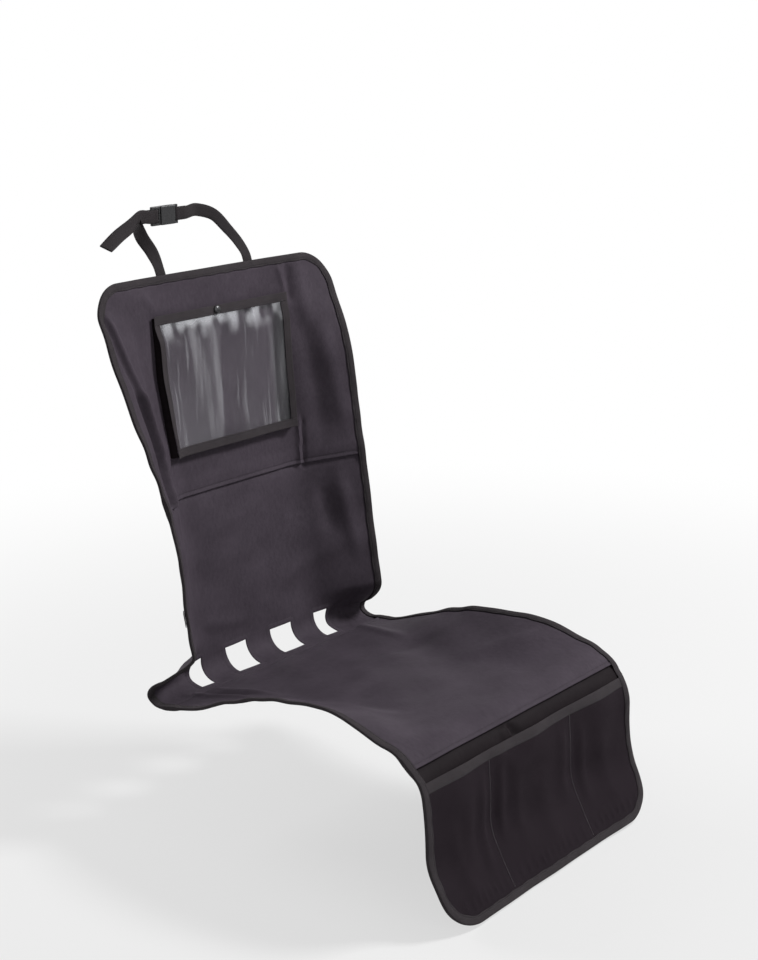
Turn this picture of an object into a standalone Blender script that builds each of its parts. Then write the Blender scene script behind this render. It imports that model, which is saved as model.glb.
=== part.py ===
"""Car seat protector, draped as it lies over a seat's back, cushion and front edge.

Metres, +Z up. The cloth faces -Y, its width lies along X, and the origin is under the middle of the seat panel,
which slopes up a little towards its front.
Every piece is laid out on the flat cloth first: u runs across it from the middle, s runs down it from the
top edge, and h is the height over its middle surface. One function, cloth(), then drapes them all alike.
"""
import math

import bmesh
import bpy
import numpy as np

for old in list(bpy.data.objects):
    bpy.data.objects.remove(old)

# Sizes of the flat cloth
CLOTH_WIDTH = 0.500
BACK_LENGTH = 0.6065
SEAT_LENGTH = 0.4922
APRON_LENGTH = 0.2373
CLOTH_THICKNESS = 0.0024
TOP_CORNER_RADIUS = 0.052
APRON_CORNER_RADIUS = 0.062
CLEARANCE = 0.0003

# How the cloth lies on the seat
BACK_RECLINE = math.radians(8.4)
SEAT_SLOPE = math.radians(5.4)
CREASE_RADIUS = 0.033
FRONT_RADIUS = 0.0546
APRON_LEAN = math.radians(2.2)
CURL_ANGLE = math.radians(27.8)
CURL_START = 0.1169
CURL_LENGTH = 0.050

# How the sides fold forward, about two lines that run down the cloth
FOLD_LINE = 0.126
FOLD_SPREAD = 0.044
TOP_FOLD = math.radians(9)
LEFT_FOLD = math.radians(42)
LEFT_FOLD_FROM = 0.62
LEFT_FOLD_TO = 0.20
RIGHT_FOLD = math.radians(33)
RIGHT_FOLD_FROM = 0.61
RIGHT_FOLD_TO = 0.42
UNFOLD_ABOVE_CREASE = 0.062
BOLSTER_FOLD = math.radians(20.5)
BOLSTER_FROM = 0.03
BOLSTER_RISE = 0.27
BOLSTER_FALL = 0.16
APRON_FOLD = math.radians(3.5)
APRON_FOLD_LENGTH = 0.06

# Seams, where one panel laps over the next
LAP_WIDTH = 0.014
LAP_SLOPE = 0.016
BACK_SEAM = 0.331
REAR_SEAM_AHEAD_OF_CREASE = 0.038
APRON_SEAM_BELOW_FRONT = 0.0024

# Openings in the crease for the seat's belt buckles and anchors
WINDOW_ABOVE_CREASE = 0.029
WINDOW_AHEAD_OF_CREASE = 0.021
INNER_WINDOW_FROM = 0.028
INNER_WINDOW_TO = 0.076
OUTER_WINDOW_FROM = 0.130
OUTER_WINDOW_TO = 0.158

# Binding tape
TAPE_THICKNESS = 0.0010
BINDING_WIDTH = 0.0105

# Tablet pocket
POCKET_WIDTH = 0.290
POCKET_HEIGHT = 0.212
POCKET_TOP = 0.0565
POCKET_DEPTH = 0.012
POCKET_MOUTH = 0.0052
MOUTH_SPREAD = 0.045
MOUTH_ARCH = 0.0022
BAND_WIDTH = 0.0135
FILM_THICKNESS = 0.0006
FILM_MARGIN = 0.0025
GUSSET_THICKNESS = 0.0010

# Press stud
CAP_RADIUS = 0.0068
CAP_HEIGHT = 0.0026
SOCKET_RADIUS = 0.0052
SOCKET_HEIGHT = 0.0020
SOCKET_BORE = 0.0026
STUD_RADIUS = 0.0050
STUD_FLANGE = 0.0008
STUD_POST_RADIUS = 0.0021
STUD_POST_HEIGHT = 0.0028

# Pockets on the apron
MESH_THICKNESS = 0.0010
MESH_BELOW_FRONT = 0.0249
MESH_INSET = 0.003
MESH_GAPE = 0.015
DIVIDER = 0.100
HEM_WIDTH = 0.012

# Straps and their buckle
WEBBING_WIDTH = 0.020
WEBBING_THICKNESS = 0.0013
STRAP_FROM_MIDDLE = 0.094
STRAP_FOOT = 0.045
BUCKLE_X = -0.018
BUCKLE_BEHIND_TOP = 0.06455
BUCKLE_ABOVE_TOP = 0.07862
WRAP_FAR = 0.014
WRAP_NEAR = 0.004
SEWN_END = 0.022
BUCKLE_WIDTH = 0.0290
BUCKLE_THICKNESS = 0.0086
SOCKET_LENGTH = 0.0300
SOCKET_WALL = 0.0016
PLUG_BASE = 0.0175
PLUG_THICKNESS = 0.0054
PRONG_LENGTH = 0.0190
BAR = 0.0030
SLOT = 0.0042

# Small tab on the left edge
TAB_FROM_TOP = 0.475
TAB_WIDTH = 0.021
TAB_LENGTH = 0.011

CLOTH_LENGTH = BACK_LENGTH + SEAT_LENGTH + APRON_LENGTH
CREASE = BACK_LENGTH
FRONT = BACK_LENGTH + SEAT_LENGTH
HALF = CLOTH_WIDTH / 2
REAR_SEAM = CREASE + REAR_SEAM_AHEAD_OF_CREASE
APRON_SEAM = FRONT + APRON_SEAM_BELOW_FRONT
MESH_TOP = FRONT + MESH_BELOW_FRONT
LAP_LIFT = (CLOTH_THICKNESS + CLEARANCE) / 2
# The stretches in which two panels lie on each other
LAPS = (
    (BACK_SEAM - LAP_WIDTH, BACK_SEAM),
    (REAR_SEAM, REAR_SEAM + LAP_WIDTH),
    (APRON_SEAM - LAP_WIDTH, APRON_SEAM),
)


def smooth(x, start, end):
    """Rises from 0 at start to 1 at end, without a kink."""
    t = np.clip((np.asarray(x, float) - start) / (end - start), 0, 1)
    return t * t * (3 - 2 * t)


def spread(start, end, step):
    """Even values from start to end, about step apart."""
    return np.linspace(start, end, max(1, math.ceil((end - start) / step - 1e-6)) + 1)


# The line down the middle of the cloth: its angle from straight down, added up into points
LINE_STEP = 0.001
LINE_EXTRA = 0.03


def middle_line():
    s = np.arange(-LINE_EXTRA, CLOTH_LENGTH + LINE_EXTRA, LINE_STEP)
    at_crease = math.pi / 2 - BACK_RECLINE + SEAT_SLOPE
    at_front = math.pi / 2 - APRON_LEAN + SEAT_SLOPE
    crease_half = at_crease * CREASE_RADIUS / 2
    front_half = at_front * FRONT_RADIUS / 2
    curl_from = FRONT + CURL_START
    angle = BACK_RECLINE
    angle = angle + at_crease * np.clip((s - CREASE + crease_half) / (2 * crease_half), 0, 1)
    angle = angle - at_front * np.clip((s - FRONT + front_half) / (2 * front_half), 0, 1)
    angle = angle + CURL_ANGLE * np.clip((s - curl_from) / CURL_LENGTH, 0, 1)
    between = (angle[1:] + angle[:-1]) / 2
    y = np.concatenate([[0.0], np.cumsum(-np.sin(between) * LINE_STEP)])
    z = np.concatenate([[0.0], np.cumsum(-np.cos(between) * LINE_STEP)])
    # The origin is on the underside of the seat panel, half a thickness from the line
    seat_middle = CREASE + SEAT_LENGTH / 2
    y = y - np.interp(seat_middle, s, y) + math.sin(SEAT_SLOPE) * CLOTH_THICKNESS / 2
    z = z - np.interp(seat_middle, s, z) + math.cos(SEAT_SLOPE) * CLOTH_THICKNESS / 2
    return s, y, z, angle


LINE = middle_line()


def fold_angle(u, s):
    """How far a side of the cloth is folded forward or up, at each distance down the cloth."""
    above = CREASE - s
    ahead = s - CREASE
    left = TOP_FOLD + (LEFT_FOLD - TOP_FOLD) * (1 - smooth(above, LEFT_FOLD_TO, LEFT_FOLD_FROM))
    right = TOP_FOLD + (RIGHT_FOLD - TOP_FOLD) * (1 - smooth(above, RIGHT_FOLD_TO, RIGHT_FOLD_FROM))
    on_back = np.where(u < 0, left, right) * smooth(above, 0, UNFOLD_ABOVE_CREASE)
    on_seat = BOLSTER_FOLD * smooth(ahead, BOLSTER_FROM, BOLSTER_RISE) * (1 - smooth(s, FRONT - BOLSTER_FALL, FRONT))
    on_apron = APRON_FOLD * smooth(s, FRONT, FRONT + APRON_FOLD_LENGTH)
    return on_back + on_seat + on_apron


def middle_surface(u, s):
    """The middle of the cloth's thickness."""
    line_s, line_y, line_z, line_angle = LINE
    y = np.interp(s, line_s, line_y)
    z = np.interp(s, line_s, line_z)
    angle = np.interp(s, line_s, line_angle)
    bend = np.maximum(fold_angle(u, s), 1e-6) / FOLD_SPREAD
    flat = FOLD_LINE - FOLD_SPREAD / 2
    past = np.abs(u) - flat
    turning = np.clip(past, 0, FOLD_SPREAD)
    straight = np.maximum(past - FOLD_SPREAD, 0)
    turned = bend * FOLD_SPREAD
    out = np.minimum(np.abs(u), flat) + np.sin(bend * turning) / bend + straight * np.cos(turned)
    up = (1 - np.cos(bend * turning)) / bend + straight * np.sin(turned)
    return np.stack([np.sign(u) * out, y - np.cos(angle) * up, z + np.sin(angle) * up], -1)


def cloth(u, s, h=0.0):
    """Places points of the flat cloth, h above its middle surface, on the draped one."""
    u, s, h = np.broadcast_arrays(np.asarray(u, float), np.asarray(s, float), np.asarray(h, float))
    near = 0.0015
    across = middle_surface(u + near, s) - middle_surface(u - near, s)
    down = middle_surface(u, s + near) - middle_surface(u, s - near)
    normal = np.cross(down, across)
    normal /= np.linalg.norm(normal, axis=-1, keepdims=True)
    return middle_surface(u, s) + normal * h[..., None]


def half_width(s, inset=0.0):
    """Half the cloth's width at s, less at its rounded corners."""
    top = TOP_CORNER_RADIUS
    low = APRON_CORNER_RADIUS - inset
    from_top = np.clip(np.asarray(s, float), 0, top)
    from_end = np.clip(CLOTH_LENGTH - inset - s, 0, low)
    top_loss = top - np.sqrt(np.maximum(top**2 - (top - from_top) ** 2, 0))
    low_loss = low - np.sqrt(np.maximum(low**2 - (low - from_end) ** 2, 0))
    return HALF - inset - top_loss - low_loss


def lap_raise(s, lap):
    """1 where two panels lie on each other, down to 0 on either side."""
    start, end = lap
    return smooth(s, start - LAP_SLOPE, start) * (1 - smooth(s, end, end + LAP_SLOPE))


# Distances down and across the cloth that all its pieces share, so that they bend alike
CORNER_TURNS = np.linspace(0, math.pi / 2, 6)
DOWN = np.concatenate(
    [
        TOP_CORNER_RADIUS * (1 - np.cos(CORNER_TURNS)),
        spread(TOP_CORNER_RADIUS, CREASE - 0.40, 0.018),
        spread(CREASE - 0.40, CREASE - 0.07, 0.034),
        spread(CREASE - 0.07, CREASE, 0.0055),
        spread(CREASE, CREASE + 0.05, 0.008),
        spread(CREASE + 0.05, CREASE + BOLSTER_RISE, 0.020),
        spread(CREASE + BOLSTER_RISE, FRONT - BOLSTER_FALL, 0.036),
        spread(FRONT - BOLSTER_FALL, FRONT - 0.06, 0.016),
        spread(FRONT - 0.06, FRONT + 0.05, 0.009),
        spread(FRONT + 0.05, CLOTH_LENGTH - APRON_CORNER_RADIUS, 0.018),
        CLOTH_LENGTH - APRON_CORNER_RADIUS * (1 - np.sin(CORNER_TURNS)),
    ]
    + [spread(POCKET_TOP + BAND_WIDTH, POCKET_TOP + MOUTH_SPREAD, 0.008)]
    + [np.array([a - LAP_SLOPE, a - LAP_SLOPE / 2, a, b, b + LAP_SLOPE / 2, b + LAP_SLOPE]) for a, b in LAPS]
    + [np.array([MESH_TOP - 0.012, MESH_TOP - 0.002, MESH_TOP, MESH_TOP + HEM_WIDTH / 2, MESH_TOP + HEM_WIDTH])]
)
# The lines that a seam or a mouth needs exactly, which stay where another lies too near
EXACT = [MESH_TOP - 0.002, MESH_TOP, MESH_TOP + HEM_WIDTH / 2, MESH_TOP + HEM_WIDTH]
EXACT += [s for lap in LAPS for s in lap]
FLAT_HALF = FOLD_LINE - FOLD_SPREAD / 2
FLAP_START = FOLD_LINE + FOLD_SPREAD / 2
UNDER_BINDING = HALF - BINDING_WIDTH - 0.001
SIDE_COLUMNS = np.concatenate([spread(FLAT_HALF, FLAP_START, 0.011), [UNDER_BINDING, HALF]])
ACROSS = np.concatenate([-SIDE_COLUMNS[::-1], [0.0], SIDE_COLUMNS])


def thinned(values, exact, apart=0.0018):
    """The values in order, without those that lie close to an exact one or to the one before."""
    kept = list(exact)
    for value in sorted(values):
        if min(abs(value - k) for k in kept) > apart:
            kept.append(float(value))
    return np.array(sorted(kept))


DOWN = thinned(DOWN, EXACT)


def between(values, start, end, apart=0.0008):
    """The shared values from start to end, with both ends."""
    inside = [float(v) for v in sorted(values) if start + apart < v < end - apart]
    return np.array([start] + inside + [end])


collection = bpy.data.collections.new("car_seat_protector")
bpy.context.scene.collection.children.link(collection)
cutters = bpy.data.collections.new("cutters")
bpy.context.scene.collection.children.link(cutters)


def material(name, colour, roughness=0.85, metallic=0.0, alpha=1.0):
    made = bpy.data.materials.new(name)
    made.use_nodes = True
    shader = made.node_tree.nodes["Principled BSDF"]
    shader.inputs["Base Color"].default_value = (*colour, 1)
    shader.inputs["Roughness"].default_value = roughness
    shader.inputs["Metallic"].default_value = metallic
    shader.inputs["Alpha"].default_value = alpha
    return made


PANEL_CLOTH = material("panel cloth", (0.055, 0.048, 0.056))
APRON_CLOTH = material("apron cloth", (0.022, 0.020, 0.023))
MESH_CLOTH = material("mesh cloth", (0.018, 0.016, 0.020))
BINDING_TAPE = material("binding tape", (0.035, 0.034, 0.036))
WEBBING = material("webbing", (0.040, 0.038, 0.042))
CLEAR_FILM = material("clear film", (0.85, 0.86, 0.88), 0.1, alpha=0.3)
SNAP_METAL = material("snap metal", (0.02, 0.02, 0.02), 0.25, 0.6)
BUCKLE_PLASTIC = material("buckle plastic", (0.012, 0.012, 0.013), 0.4)


def add(name, vertices, faces, look, group=collection):
    mesh = bpy.data.meshes.new(name)
    mesh.from_pydata([tuple(v) for v in vertices], [], faces)
    mesh.update()
    made = bpy.data.objects.new(name, mesh)
    group.objects.link(made)
    if look:
        mesh.materials.append(look)
    return made


def face_out(made):
    work = bmesh.new()
    work.from_mesh(made.data)
    bmesh.ops.recalc_face_normals(work, faces=work.faces)
    work.to_mesh(made.data)
    work.free()
    return made


def sheet(name, columns, rows, look, height=0.0, thickness=CLOTH_THICKNESS, edge=None, holes=()):
    """A piece of cloth: two layers over a grid of the flat cloth, joined all round and round each hole."""
    columns = np.asarray(columns, float)
    rows = np.asarray(rows, float)
    u, s = np.meshgrid(columns, rows)
    if edge is not None:
        past = np.maximum(np.abs(u) - FLAP_START, 0)
        room = np.maximum(edge(s) - FLAP_START, 0)
        widest = max(abs(columns[0]), abs(columns[-1])) - FLAP_START
        u = np.where(past > 0, np.sign(u) * (FLAP_START + past * room / widest), u)
    h = height(u, s) if callable(height) else height
    front = cloth(u, s, h + thickness / 2).reshape(-1, 3)
    rear = cloth(u, s, h - thickness / 2).reshape(-1, 3)
    across = len(columns)
    layer = []
    for i in range(len(rows) - 1):
        for j in range(across - 1):
            middle_u = abs(columns[j] + columns[j + 1]) / 2
            middle_s = (rows[i] + rows[i + 1]) / 2
            if any(a < middle_u < b and c < middle_s < d for a, b, c, d in holes):
                continue
            k = i * across + j
            layer.append((k, k + across, k + across + 1))
            layer.append((k, k + across + 1, k + 1))
    used = {}
    for face in layer:
        for a, b in zip(face, face[1:] + face[:1]):
            used[(a, b)] = used.get((a, b), 0) + 1
    rear_start = len(front)
    faces = list(layer)
    faces += [tuple(k + rear_start for k in face[::-1]) for face in layer]
    faces += [(b, a, a + rear_start, b + rear_start) for a, b in used if (b, a) not in used]
    made = add(name, np.concatenate([front, rear]), faces, look)
    work = bmesh.new()
    work.from_mesh(made.data)
    bmesh.ops.delete(work, geom=[v for v in work.verts if not v.link_faces], context="VERTS")
    work.to_mesh(made.data)
    work.free()
    return face_out(made)


def loft(name, rings, look, group=collection, flat=None):
    """Joins closed rings of points in order, and closes both ends.

    flat holds each point's u and s, and then each face is split the way that the sheets' faces are.
    """
    rings = np.asarray(rings, float)
    count, around = rings.shape[:2]
    faces = []
    for i in range(count - 1):
        for j in range(around):
            k = (j + 1) % around
            a, b, c, d = i * around + j, i * around + k, (i + 1) * around + k, (i + 1) * around + j
            if flat is None:
                faces.append((a, b, c, d))
                continue
            run_u, run_s = flat[i + 1][k] - flat[i][j]
            if run_u * run_s >= 0:
                faces += [(a, b, c), (a, c, d)]
            else:
                faces += [(a, b, d), (b, c, d)]
    faces.append(tuple(range(around))[::-1])
    faces.append(tuple((count - 1) * around + j for j in range(around)))
    return face_out(add(name, rings.reshape(-1, 3), faces, look, group))


def swept(name, path, section, look):
    """Sweeps a section along a path on the flat cloth.

    A path row holds u, s and the inward direction in u and s. A section takes the row's u and s, and gives
    rows of inward distance and height.
    """
    rings = []
    flat = []
    for u, s, inward_u, inward_s in path:
        outline = np.array(section(u, s))
        at_u = u + inward_u * outline[:, 0]
        at_s = s + inward_s * outline[:, 0]
        rings.append(cloth(at_u, at_s, outline[:, 1]))
        flat.append(np.stack([at_u, at_s], 1))
    return loft(name, rings, look, flat=flat)


# Panels: padded cloth, each lapped over or under the next
def upper_back_height(u, s):
    return LAP_LIFT * lap_raise(s, LAPS[0])


def lower_back_height(u, s):
    return -LAP_LIFT * (lap_raise(s, LAPS[0]) + lap_raise(s, LAPS[1]))


def seat_height(u, s):
    return LAP_LIFT * (lap_raise(s, LAPS[1]) + lap_raise(s, LAPS[2]))


def apron_height(u, s):
    return -LAP_LIFT * lap_raise(s, LAPS[2])


WINDOW_START = CREASE - WINDOW_ABOVE_CREASE
WINDOW_END = CREASE + WINDOW_AHEAD_OF_CREASE
WINDOWS = (
    (INNER_WINDOW_FROM, INNER_WINDOW_TO, WINDOW_START, WINDOW_END),
    (OUTER_WINDOW_FROM, OUTER_WINDOW_TO, WINDOW_START, WINDOW_END),
)
WINDOW_SIDES = (INNER_WINDOW_FROM, INNER_WINDOW_TO, OUTER_WINDOW_FROM, OUTER_WINDOW_TO)
window_columns = [side * u for side in (-1, 1) for u in WINDOW_SIDES]
lower_columns = np.unique(np.round(np.concatenate([ACROSS, window_columns]), 6))
lower_columns = np.array(
    [
        u
        for u in lower_columns
        if min(abs(u - w) for w in window_columns) > 0.004 or min(abs(u - w) for w in window_columns) < 1e-6
    ]
)
lower_down = np.concatenate([DOWN[(DOWN < WINDOW_START - 0.002) | (DOWN > WINDOW_START + 0.002)], [WINDOW_START]])
lower_down = np.concatenate([lower_down[(lower_down < WINDOW_END - 0.002) | (lower_down > WINDOW_END + 0.002)], [WINDOW_END]])

sheet("upper_back_panel", ACROSS, between(DOWN, 0, BACK_SEAM), PANEL_CLOTH, upper_back_height, edge=half_width)
sheet(
    "lower_back_panel",
    lower_columns,
    between(lower_down, LAPS[0][0], LAPS[1][1]),
    PANEL_CLOTH,
    lower_back_height,
    edge=half_width,
    holes=WINDOWS,
)
sheet("seat_panel", ACROSS, between(DOWN, REAR_SEAM, APRON_SEAM), PANEL_CLOTH, seat_height, edge=half_width)
sheet(
    "apron_panel",
    ACROSS,
    between(DOWN, LAPS[2][0], CLOTH_LENGTH),
    APRON_CLOTH,
    apron_height,
    edge=half_width,
)


# Binding: folded tape round the outer edge, with room for a seam's two layers and for the apron's mesh
def binding_section(u, s):
    raised = LAP_LIFT * sum(lap_raise(s, lap) for lap in LAPS)
    plain = CLOTH_THICKNESS / 2 + CLEARANCE
    mesh_room = (MESH_THICKNESS + CLEARANCE) * smooth(s, MESH_TOP - 0.012, MESH_TOP - 0.002)
    front = plain + max(raised, mesh_room)
    rear = plain + raised
    inner = -CLEARANCE
    outer = inner - TAPE_THICKNESS
    return [
        (BINDING_WIDTH, front),
        (BINDING_WIDTH, front + TAPE_THICKNESS),
        (outer, front + TAPE_THICKNESS * 0.5),
        (outer, -rear - TAPE_THICKNESS * 0.5),
        (BINDING_WIDTH, -rear - TAPE_THICKNESS),
        (BINDING_WIDTH, -rear),
        (inner, -rear),
        (inner, front),
    ]


def side_path(side, start, end):
    """Straight rows down one side of the cloth, between its corners."""
    first = max(start, TOP_CORNER_RADIUS)
    last = min(end, CLOTH_LENGTH - APRON_CORNER_RADIUS)
    return [(side * HALF, s, -side, 0) for s in between(DOWN, first, last)]


def corner_path(side, radius, at_top):
    """A rounded corner, from the side of the cloth to its end."""
    centre_u = side * (HALF - radius)
    centre_s = radius if at_top else CLOTH_LENGTH - radius
    outward_s = -1 if at_top else 1
    rows = []
    for turn in CORNER_TURNS[1:]:
        out_u = side * math.cos(turn)
        out_s = outward_s * math.sin(turn)
        rows.append((centre_u + out_u * radius, centre_s + out_s * radius, -out_u, -out_s))
    return rows


def end_path(radius, s, inward):
    """Straight rows along an end of the cloth, between its corners."""
    last = HALF - radius
    return [(u, s, 0, inward) for u in between(ACROSS, -last, last)]


BINDING_JOIN = REAR_SEAM - LAP_SLOPE
back_left = side_path(-1, 0, BINDING_JOIN - CLEARANCE)[::-1]
back_right = side_path(1, 0, BINDING_JOIN - CLEARANCE)
back_path = (
    back_left
    + corner_path(-1, TOP_CORNER_RADIUS, True)
    + end_path(TOP_CORNER_RADIUS, 0, 1)[1:-1]
    + corner_path(1, TOP_CORNER_RADIUS, True)[::-1]
    + back_right
)
seat_path = (
    side_path(-1, BINDING_JOIN, CLOTH_LENGTH)
    + corner_path(-1, APRON_CORNER_RADIUS, False)
    + end_path(APRON_CORNER_RADIUS, CLOTH_LENGTH, -1)[1:-1]
    + corner_path(1, APRON_CORNER_RADIUS, False)[::-1]
    + side_path(1, BINDING_JOIN, CLOTH_LENGTH)[::-1]
)
swept("back_binding", back_path, binding_section, BINDING_TAPE)
swept("seat_binding", seat_path, binding_section, BINDING_TAPE)

# Tablet pocket: a clear front in a frame of tape, on a gusset that stands off the back panel
POCKET_HALF = POCKET_WIDTH / 2
POCKET_END = POCKET_TOP + POCKET_HEIGHT
PANEL_FRONT = CLOTH_THICKNESS / 2


def pocket_depth(u, s):
    """The clear room behind the pocket's film."""
    arch = MOUTH_ARCH * np.sin(np.pi * np.clip(np.abs(u) / POCKET_HALF, 0, 1)) ** 2
    at_mouth = POCKET_MOUTH + arch
    return at_mouth + (POCKET_DEPTH - at_mouth) * smooth(s, POCKET_TOP + BAND_WIDTH, POCKET_TOP + MOUTH_SPREAD)


def film_height(u, s):
    return PANEL_FRONT + pocket_depth(u, s) + FILM_THICKNESS / 2


def band_height(u, s):
    return film_height(u, s) + FILM_THICKNESS / 2 + CLEARANCE + TAPE_THICKNESS / 2


pocket_across = thinned(spread(-FLAT_HALF, FLAT_HALF, 0.035), np.concatenate([-SIDE_COLUMNS, SIDE_COLUMNS]))
inner_half = POCKET_HALF - BAND_WIDTH
film_half = POCKET_HALF - FILM_MARGIN
film_rows = between(DOWN, POCKET_TOP + FILM_MARGIN, POCKET_END - FILM_MARGIN)
sheet(
    "tablet_window",
    between(pocket_across, -film_half, film_half),
    film_rows,
    CLEAR_FILM,
    film_height,
    FILM_THICKNESS,
)
full_columns = between(pocket_across, -POCKET_HALF, POCKET_HALF)
side_rows = between(DOWN, POCKET_TOP + BAND_WIDTH + CLEARANCE, POCKET_END - BAND_WIDTH - CLEARANCE)
top_rows = between(DOWN, POCKET_TOP, POCKET_TOP + BAND_WIDTH)
low_rows = [POCKET_END - BAND_WIDTH, POCKET_END - BAND_WIDTH / 2, POCKET_END]
sheet("pocket_top_band", full_columns, top_rows, BINDING_TAPE, band_height, TAPE_THICKNESS)
sheet("pocket_bottom_band", full_columns, low_rows, BINDING_TAPE, band_height, TAPE_THICKNESS)
left_columns = between(pocket_across, -POCKET_HALF, -inner_half)
right_columns = between(pocket_across, inner_half, POCKET_HALF)
sheet("pocket_left_band", left_columns, side_rows, BINDING_TAPE, band_height, TAPE_THICKNESS)
sheet("pocket_right_band", right_columns, side_rows, BINDING_TAPE, band_height, TAPE_THICKNESS)


def gusset_section(u, s):
    foot = PANEL_FRONT + CLEARANCE
    top = PANEL_FRONT + float(pocket_depth(u, s)) - CLEARANCE
    near = FILM_MARGIN
    far = near + GUSSET_THICKNESS
    return [(near, foot), (near, top), (far, top), (far, foot)]


gusset_rows = between(DOWN, POCKET_TOP + FILM_MARGIN, POCKET_END)
gusset_path = (
    [(-POCKET_HALF, s, 1, 0) for s in gusset_rows[:-1]]
    + [(-POCKET_HALF, POCKET_END, 1, -1)]
    + [(u, POCKET_END, 0, -1) for u in full_columns[1:-1]]
    + [(POCKET_HALF, POCKET_END, -1, -1)]
    + [(POCKET_HALF, s, -1, 0) for s in gusset_rows[:-1][::-1]]
)
swept("pocket_gusset", gusset_path, gusset_section, APRON_CLOTH)

# Press stud that closes the pocket's mouth: turned pieces, seated on the band and on the panel
SNAP_S = POCKET_TOP + BAND_WIDTH / 2


def turned(name, profile, u, s, look, sides=20):
    """A solid of revolution that stands on the cloth at u and s; profile rows are radius and height."""
    base = cloth(u, s, 0.0)
    up = cloth(u, s, 0.01) - base
    up /= np.linalg.norm(up)
    right = np.array([1.0, 0.0, 0.0])
    ahead = np.cross(up, right)
    turn = np.linspace(0, 2 * math.pi, sides, endpoint=False)
    vertices = []
    faces = []
    for radius, height in profile:
        for angle in turn:
            vertices.append(base + up * height + (right * math.cos(angle) + ahead * math.sin(angle)) * radius)
    count = len(profile)
    for i in range(count - 1):
        for j in range(sides):
            k = (j + 1) % sides
            faces.append((i * sides + j, i * sides + k, (i + 1) * sides + k, (i + 1) * sides + j))
    if profile[0] == profile[-1]:
        for j in range(sides):
            faces[-sides + j] = (
                (count - 2) * sides + j,
                (count - 2) * sides + (j + 1) % sides,
                (j + 1) % sides,
                j,
            )
        vertices = vertices[: (count - 1) * sides]
    else:
        faces.append(tuple(range(sides)))
        faces.append(tuple((count - 1) * sides + j for j in range(sides)))
    return face_out(add(name, vertices, faces, look))


band_front = float(band_height(0.0, SNAP_S)) + TAPE_THICKNESS / 2 + CLEARANCE
film_rear = PANEL_FRONT + float(pocket_depth(0.0, SNAP_S)) - CLEARANCE
stud_foot = PANEL_FRONT + CLEARANCE
dome = [
    (CAP_RADIUS * math.cos(turn), band_front + CAP_HEIGHT * (0.35 + 0.65 * math.sin(turn)))
    for turn in np.linspace(0, math.radians(80), 6)
]
turned("snap_cap", [(CAP_RADIUS * 0.96, band_front)] + dome, 0, SNAP_S, SNAP_METAL, 24)
socket_profile = [
    (SOCKET_BORE, film_rear - SOCKET_HEIGHT),
    (SOCKET_RADIUS * 0.9, film_rear - SOCKET_HEIGHT),
    (SOCKET_RADIUS, film_rear - SOCKET_HEIGHT * 0.7),
    (SOCKET_RADIUS, film_rear),
    (SOCKET_BORE, film_rear),
    (SOCKET_BORE, film_rear - SOCKET_HEIGHT),
]
turned("snap_socket", socket_profile, 0, SNAP_S, SNAP_METAL)
stud_profile = [
    (STUD_RADIUS, stud_foot),
    (STUD_RADIUS, stud_foot + STUD_FLANGE * 0.6),
    (STUD_RADIUS * 0.85, stud_foot + STUD_FLANGE),
    (STUD_POST_RADIUS * 0.85, stud_foot + STUD_FLANGE),
    (STUD_POST_RADIUS, stud_foot + STUD_POST_HEIGHT * 0.75),
    (STUD_POST_RADIUS * 0.7, stud_foot + STUD_POST_HEIGHT),
]
turned("snap_stud", stud_profile, 0, SNAP_S, SNAP_METAL)
post_face = -PANEL_FRONT - CLEARANCE
post_profile = [
    (STUD_RADIUS, post_face),
    (STUD_RADIUS, post_face - STUD_FLANGE * 0.6),
    (STUD_RADIUS * 0.8, post_face - STUD_FLANGE),
]
turned("snap_post", post_profile, 0, SNAP_S, SNAP_METAL)

# Apron pockets: one mesh layer, sewn down at its edges and at two dividers, that gapes at its mouth
COMPARTMENTS = ((-UNDER_BINDING, -DIVIDER), (-DIVIDER, DIVIDER), (DIVIDER, UNDER_BINDING))
MESH_END = CLOTH_LENGTH - MESH_INSET


def mesh_gape(u, s):
    belly = np.zeros(np.shape(u))
    for left, right in COMPARTMENTS:
        t = np.clip((np.asarray(u) - left) / (right - left), 0, 1)
        belly = belly + np.sin(np.pi * t) ** 2
    deep = 1 - smooth(s, MESH_TOP + 0.25 * (MESH_END - MESH_TOP), MESH_END - 0.03)
    return MESH_GAPE * belly * (0.12 + 0.88 * deep) * (1 - smooth(s, MESH_END - 0.03, MESH_END - 0.012))


def mesh_height(u, s):
    return PANEL_FRONT + CLEARANCE + MESH_THICKNESS / 2 + mesh_gape(u, s)


def mesh_edge(s):
    return half_width(s, MESH_INSET)


mesh_half = HALF - MESH_INSET
mesh_columns = np.unique(
    np.round(
        np.concatenate(
            [
                [-mesh_half],
                spread(-UNDER_BINDING, -DIVIDER, 0.0232),
                spread(-DIVIDER, DIVIDER, 0.025),
                spread(DIVIDER, UNDER_BINDING, 0.0232),
                [mesh_half],
            ]
        ),
        6,
    )
)
sheet(
    "apron_pocket_mesh",
    mesh_columns,
    between(DOWN, MESH_TOP, MESH_END),
    MESH_CLOTH,
    mesh_height,
    MESH_THICKNESS,
    edge=mesh_edge,
)


def hem_section(u, s):
    """Tape folded over the mesh's mouth."""
    tape = TAPE_THICKNESS * 0.7
    around = MESH_THICKNESS / 2 + CLEARANCE * 0.7
    rows = []
    for inward, height in (
        (HEM_WIDTH, around),
        (HEM_WIDTH, around + tape),
        (HEM_WIDTH / 2, around + tape),
        (-CLEARANCE - tape * 0.4, around + tape),
        (-CLEARANCE - tape, around * 0.5),
        (-CLEARANCE, 0.0),
        (-CLEARANCE, around),
        (HEM_WIDTH / 2, around),
    ):
        rows.append((inward, height + float(mesh_height(u, MESH_TOP + max(inward, 0)))))
    return rows


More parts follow.
